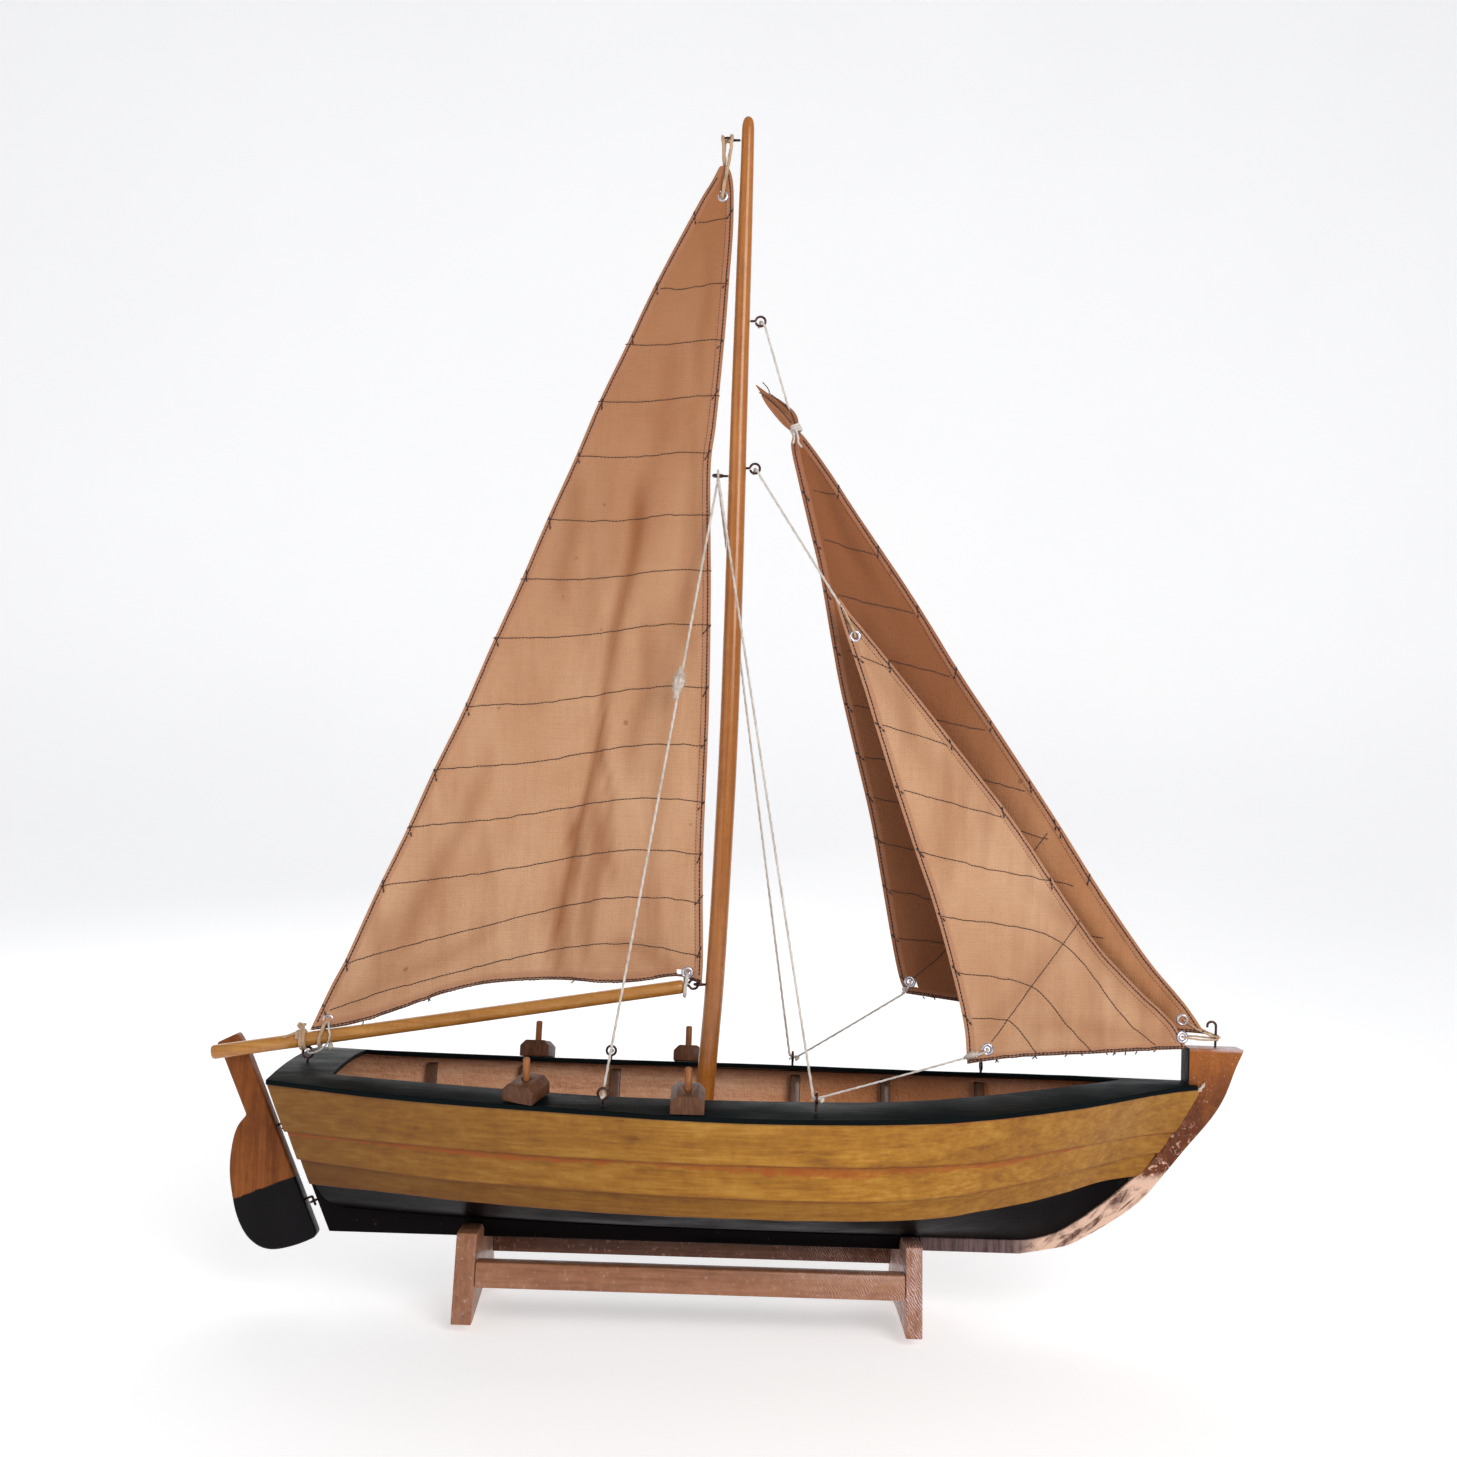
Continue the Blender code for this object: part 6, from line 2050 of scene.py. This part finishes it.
class Planking(Piece):
    """Lapped side planks and the painted bottom."""

    def __init__(self, palette: Palette) -> None:
        super().__init__(palette)
        self.lines = HullLines()

    def section(self, strake: Strake, u: float) -> list:
        """Outer face of a plank at one station, from its hidden top to its lower edge.

        Args:
            strake: Plank to cut through.
            u: Way from stern (0) to stem (1).

        Returns:
            Points down the face.
        """
        top = self.lines.at(strake.order, u)
        hidden = 0.0
        if strake.order:
            top = top + Vector((0, min(strake.inset, -top.y - 3.2), strake.over))
            hidden = strake.over
        else:
            top = top + Vector((0, 0.2, 0.7))
        low = self.lines.at(strake.order + 1, u)
        low = low + Vector((0, 0, 0.22 * wobble(low.x, strake.order * 9, 0, 17)))
        size = (top - low).length
        reach = ease((u - 0.9) / 0.1)
        rows = []
        for i in range(strake.across):
            v = i / (strake.across - 1)
            p = top.lerp(low, v)
            p.y -= 0.35 * math.sin(math.pi * v) + 0.12 * wobble(p.x, p.z, strake.order, 26)
            if reach:
                last = self.lines.at(strake.order, 1).x * (1 - v) + self.lines.at(strake.order + 1, 1).x * v
                p.x += reach * max(0.0, smooth_at(STEM_FACE, p.z) + 0.25 - last)
            rows.append((p, v * size - hidden, (1 - v) * size))
        return rows

    def strake(self, strake: Strake, side: Side, material: Material) -> None:
        """Builds one plank with an eased lower edge.

        Args:
            strake: Plank to build.
            side: Side of the boat.
            material: Its finish.
        """
        rings, drops, rises, spots = [], [], [], []
        for k in range(strake.stations + 1):
            u = k / strake.stations
            rows = self.section(strake, u)
            ahead = self.lines.at(strake.order + 1, min(u + 0.004, 1)) - self.lines.at(strake.order + 1,
                                                                                       max(u - 0.004, 0))
            down = (rows[-1][0] - rows[0][0]).normalized()
            inward = down.cross(ahead).normalized()
            if inward.y < 0:
                inward = -inward
            outer = [row[0] for row in rows]
            low = outer[-1]
            outer[-1] = low - down * 0.28
            edge = [low + inward * 0.3, low + inward * (strake.thick - 0.1)]
            inner = [p + inward * strake.thick for p in reversed(outer[:-1:2])]
            ring = outer + edge + inner
            rings.append([Vector((p.x, p.y * -side.value, p.z)) for p in ring])
            tops = [row[1] for row in rows]
            falls = [row[2] for row in rows]
            extra = len(ring) - len(rows)
            drops += tops + [tops[-1]] * extra
            rises += falls + [0.0, 0.0] + [30.0] * (extra - 2)
            spots += [(p.x, row) for p, row in zip(ring, tops + [tops[-1]] * extra)]
        verts, faces = loft(rings)
        obj = make_object("%s_strake_%s_plank" % (strake.name, side.name.lower()), verts, faces)
        set_values(obj, "drop", drops)
        set_values(obj, "rise", rises)
        set_uv(obj, spots)
        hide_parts("%s_strake_%s" % (strake.name, side.name.lower()))
        self.settle(obj, material, Body.HULL, Slot.HULL)
        self.line_inside(obj, strake)

    def line_inside(self, obj: Object, strake: Strake) -> None:
        """Gives the faces that look inboard the rough inside varnish."""
        obj.data.materials.append(self.palette.inner)
        per = len(self.section(strake, 0)) + 2 + (strake.across) // 2
        outer = strake.across - 1
        for face in obj.data.polygons:
            ring = [i % per for i in face.vertices]
            if (len(ring) == 4 and min(ring) > outer
                    and not (min(ring) == outer + 1 and max(ring) == outer + 2)):
                face.material_index = 1

    def bottom(self) -> None:
        """Builds the rounded black bottom as one shell."""
        rings = []
        for k in range(121):
            u = k / 120
            top = self.lines.at(3, u) + Vector((0, 2.2, 2.0))
            low = self.lines.at(4, u)
            middle = (top + low) / 2 + Vector((0, -1.5, -2.2)) * (1 - u**6)
            curve = Path([top, middle, low])
            star = [curve.at(i / 10) for i in range(11)]
            port = [Vector((p.x, -p.y, p.z)) for p in reversed(star)]
            outer = star + port
            inner = []
            for i in range(len(outer) - 1, -1, -2):
                p = outer[i]
                away = Vector((0, -p.y, 26)).normalized()
                inner.append(p + away * 1.5)
            rings.append(outer + inner)
        verts, faces = loft(rings)
        obj = make_object("bottom_planking_painted", verts, faces)
        obj.data.materials.append(self.palette.bottom)
        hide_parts("bottom_planking")
        self.settle(obj, self.palette.bottom, Body.HULL, Slot.BOTTOM)

    def build(self) -> None:
        """Makes every plank."""
        finishes = {"sheer": self.palette.sheer, "middle": self.palette.middle, "lower": self.palette.lower}
        for order, (name, material) in enumerate(finishes.items()):
            for side in Side:
                self.strake(Strake(name, order), side, material)
        self.bottom()


@dataclass(frozen=True)
class Eased:
    """How one CAD node is refined: its bevel, body and slot."""

    node: str
    bevel: float
    body: Body
    slot: Slot
    finish: str


class Joinery(Piece):
    """Deck, keel, stem, ribs, stand, rudder and blocks: CAD shapes with eased edges."""

    def plan(self) -> list:
        """The nodes to refine."""
        items = [Eased("deck_ring", 0.55, Body.HULL, Slot.DECK, "deck"),
                 Eased("transom", 0.4, Body.HULL, Slot.HULL, "transom"),
                 Eased("mast_step", 0.6, Body.HULL, Slot.INNER, "inner")]
        items += [Eased("rib_%d" % i, 0.45, Body.HULL, Slot.INNER, "rib") for i in range(1, 8)]
        items += [Eased("stand_upright_%s" % e, 0.55, Body.STAND, Slot.STAND, "upright") for e in ("aft",
                                                                                                   "fore")]
        items += [Eased("stand_rail_starboard", 0.6, Body.STAND, Slot.STAND, "stand"),
                  Eased("stand_rail_port", 0.6, Body.STAND, Slot.STAND, "far_rail_painted_shade")]
        for corner in ("aft_starboard", "aft_port", "fore_starboard", "fore_port"):
            items.append(Eased("oarlock_block_" + corner, 0.8, Body.HULL, Slot.BLOCK, "block"))
            items.append(Eased("thole_pin_" + corner, 0.25, Body.HULL, Slot.SPAR, "pin"))
        return items

    def build(self) -> None:
        """Refines each node and gives it its finish."""
        for item in self.plan():
            obj = refined(item.node, item.bevel)
            self.settle(obj, getattr(self.palette, item.finish), item.body, item.slot)
        blade = [(p.x, p.z) for p in Path([(x, 0, z) for x, z in RUDDER[5:17]]).walk(1.2)]
        board = plate("rudder_board", RUDDER[:5] + blade + RUDDER[17:], 4.0, 1.1)
        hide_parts("rudder")
        self.settle(board, self.palette.rudder, Body.RUDDER, Slot.RUDDER)
        top = [(x, z - 0.4) for x, z in KEEL_LINE if -175 < x < 90]
        (aft, _, low), (_, _, post_top) = [[v / MM for v in corner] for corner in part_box("keel")]
        outline = [(aft + (post_top - low) * RUDDER_LEAN, low), (aft, post_top), (-204.2, post_top),
                   (-182.8, 44.0), (-180.0, 42.8)]
        board = plate("keel_board", outline + top + [(92.0, 37.5), (92.0, low)], 5.0, 0.6)
        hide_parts("keel")
        self.settle(board, self.palette.keel, Body.HULL, Slot.BOTTOM)
        inner = [(p.x, p.z) for p in Path([(x, 0, z) for x, z in STEM_INNER[1:]]).walk(1.5)]
        outer = [(p.x, p.z) for p in Path([(x, 0, z) for x, z in STEM_OUTER[:12]]).walk(1.5)]
        outline = [(218.7, 130.4), (218.7, 111.2)] + inner[::-1] + [STEM_INNER[0],
                                                                    STEM_OUTER[12]] + outer[::-1]
        board = plate("stem_board", outline, 6.0, 0.7)
        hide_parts("stem")
        self.settle(board, self.palette.stem, Body.HULL, Slot.STEM)


class Spars(Piece):
    """Mast and boom as smooth turned dowels."""

    mast = [(50.5, -14.0, 4.5), (74, -13.0, 4.5), (107, -11.6, 4.5), (150, -9.2, 4.5), (212, -7.4, 4.5),
            (280, -6.3, 4.5), (360, -6.4, 4.4), (430, -6.8, 4.2), (498, -6.9, 3.8), (550, -7.0, 3.4),
            (572, -7.1, 3.15)]

    def build(self) -> None:
        """Makes both spars."""
        pts, radii = [], []
        for i in range(130):
            z = 50.5 + (573.0 - 50.5) * i / 129
            pts.append((smooth_at(self.mast, z, 1), 0.05 * wobble(z, 4, 4, 60), z))
            radii.append(smooth_at(self.mast, z, 2) + 0.05 * wobble(z, 1, 2, 45))
        for z, r in ((575.5, 3.05), (577.5, 2.7), (578.8, 2.25), (579.6, 1.6), (579.95, 0.8)):
            pts.append((-7.1, 0, z))
            radii.append(r)
        mast = tube("mast_dowel", pts, radii, sides=40, round_ends=False)
        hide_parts("mast")
        self.settle(mast, self.palette.spar, Body.HULL, Slot.SPAR)
        aft, fore = Vector((-243.4, -17.0, 115.2)), Vector((-24.0, -0.5, 151.3))
        length = (fore - aft).length
        marks = [(0, 2.5), (0.25, 2.9), (0.7, 3.15), (1.4, 3.3)]
        marks += [(1.4 + (length - 2.8) * i / 60, 3.3 + 0.05 * wobble(i, 8, 8, 9)) for i in range(1, 60)]
        marks += [(length - 1.4, 3.3), (length - 0.7, 3.15), (length - 0.25, 2.9), (length, 2.5)]
        boom = tube("boom_dowel", [aft.lerp(fore, s / length) for s, _ in marks], [r for _, r in marks],
                    sides=36, round_ends=False)
        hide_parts("boom")
        self.settle(boom, self.palette.boom, Body.BOOM, Slot.SPAR)


@dataclass
class Eye:
    """One bent-wire screw eye."""

    node: str
    centre: Point
    shank: Point
    plane: Point
    reach: float
    radius: float = 2.4
    rod: float = 0.6
    body: Body = Body.HULL


class Ironwork(Piece):
    """Screw eyes, rudder hinges and the bow hook, bent from wire."""

    def ring(self, centre: Vector, side: Vector, up: Vector, radius: float, start: float, stop: float,
             count: int) -> list:
        """Points round an open ring."""
        pts = []
        for i in range(count):
            a = math.radians(start + (stop - start) * i / (count - 1))
            pts.append(centre + side * radius * math.cos(a) + up * radius * math.sin(a))
        return pts

    def eye(self, item: Eye) -> None:
        """Makes a screw eye with its thread showing at the root.

        Args:
            item: The eye to make.
        """
        shank, side = Vector(item.shank).normalized(), Vector(item.plane).normalized()
        centre = Vector(item.centre)
        base = centre + shank * (item.radius + item.reach)
        neck = centre + shank * (item.radius + item.rod * 0.6) + side * item.rod * 0.2
        pts = [base.lerp(neck, i / 10) for i in range(11)]
        radii = [item.rod * (1.0 + (0.1 if i % 2 else -0.12)) for i in range(8)] + [item.rod] * 3
        loop = self.ring(centre, side, -shank, item.radius, -70, 248, 44)
        pts += loop
        radii += [item.rod] * len(loop)
        obj = tube(item.node + "_wire", pts, radii, sides=14)
        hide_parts(item.node)
        self.settle(obj, self.palette.bronze, item.body, Slot.BRONZE)

    def eyes(self) -> list:
        """Every screw eye on the ship."""
        ahead, back, down = (1, 0, 0), (-1, 0, 0), (0, 0, -1)
        items = [Eye("masthead_eye", MAST_EYES["masthead_eye"], ahead, (0, 1, 0), 3.3),
                 Eye("shroud_eye_mast", MAST_EYES["shroud_eye_mast"], ahead, (0, 1, 0), 2.3),
                 Eye("jib_halyard_eye", MAST_EYES["jib_halyard_eye"], back, (0, 0, 1), 2.4),
                 Eye("staysail_halyard_eye", MAST_EYES["staysail_halyard_eye"], back, (0, 0, 1), 2.0),
                 Eye("gooseneck_eye", (-16.6, 0, 152.4), ahead, (0, 1, 0), 0.5, 2.2)]
        run = (Vector((-243.4, -17.0, 115.2)) - Vector((-24.0, -0.5, 151.3))).normalized()
        items.append(Eye("boom_eye", (-19.2, -0.1, 152.4), tuple(run), tuple(Vector((0, -1, 0)).cross(run)),
                         1.75,
                         2.2, body=Body.BOOM))
        for name, (place, turned_eye) in DECK_EYES.items():
            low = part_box(name)[0][2] / MM
            items.append(Eye(name, place, down, (0, 1, 0) if turned_eye else (1, 0, 0), place[2] - 2.4 - low))
        return items

    def build(self) -> None:
        """Makes the eyes, hinges and hook."""
        for item in self.eyes():
            self.eye(item)
        hook = [Vector((233.4, 0, 130.7)), Vector((233.5, 0, 134.6)), Vector((233.6, 0, 138.5))]
        hook += self.ring(Vector((231.5, 0, 140.6)), Vector((1, 0, 0)), Vector((0, 0, 1)), 2.1, 4, 190, 20)
        obj = tube("tack_hook_wire", Path(hook).walk(0.35), 0.6, sides=14)
        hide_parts("tack_hook")
        self.settle(obj, self.palette.bronze, Body.HULL, Slot.BRONZE)
        out, lift = Vector((1, 0, RUDDER_LEAN)).normalized(), Vector((-RUDDER_LEAN, 0, 1)).normalized()
        axis = Vector((-199.5, 0, 42.6)) + out * 3.1
        for name, height in (("upper", 37.5), ("lower", 0.0)):
            centre = axis + lift * height
            pin = [centre + lift * 2.3 - out * 2.85, centre + lift * 2.3 - out * 0.5,
                   centre + lift * 2.15 - out * 0.12, centre + lift * 1.7, centre - lift * 2.0]
            obj = tube("pintle_%s_wire" % name, Path(pin).walk(0.3), 0.6, sides=12)
            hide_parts("pintle_" + name)
            self.settle(obj, self.palette.bronze, Body.RUDDER, Slot.BRONZE)
            self.eye(Eye("gudgeon_" + name, tuple(centre), tuple(out), (0, 1, 0), 1.2, 1.65, 0.45))


def main() -> None:
    """Builds the ship's looks in order and reports the pieces."""
    logging.basicConfig(level=logging.INFO, format="%(name)s %(message)s")
    studio = Studio()
    studio.camera()
    palette = Palette()
    parts = [Rigging(palette), Sail(palette, MAINSAIL), Sail(palette, JIB), Sail(palette, STAYSAIL),
             JibTip(palette), Lashings(palette), Planking(palette), Joinery(palette), Spars(palette),
             Ironwork(palette)]
    for part in parts:
        part.build()
        part.report()
    studio.build(palette)


if __name__ == "__main__":
    main()
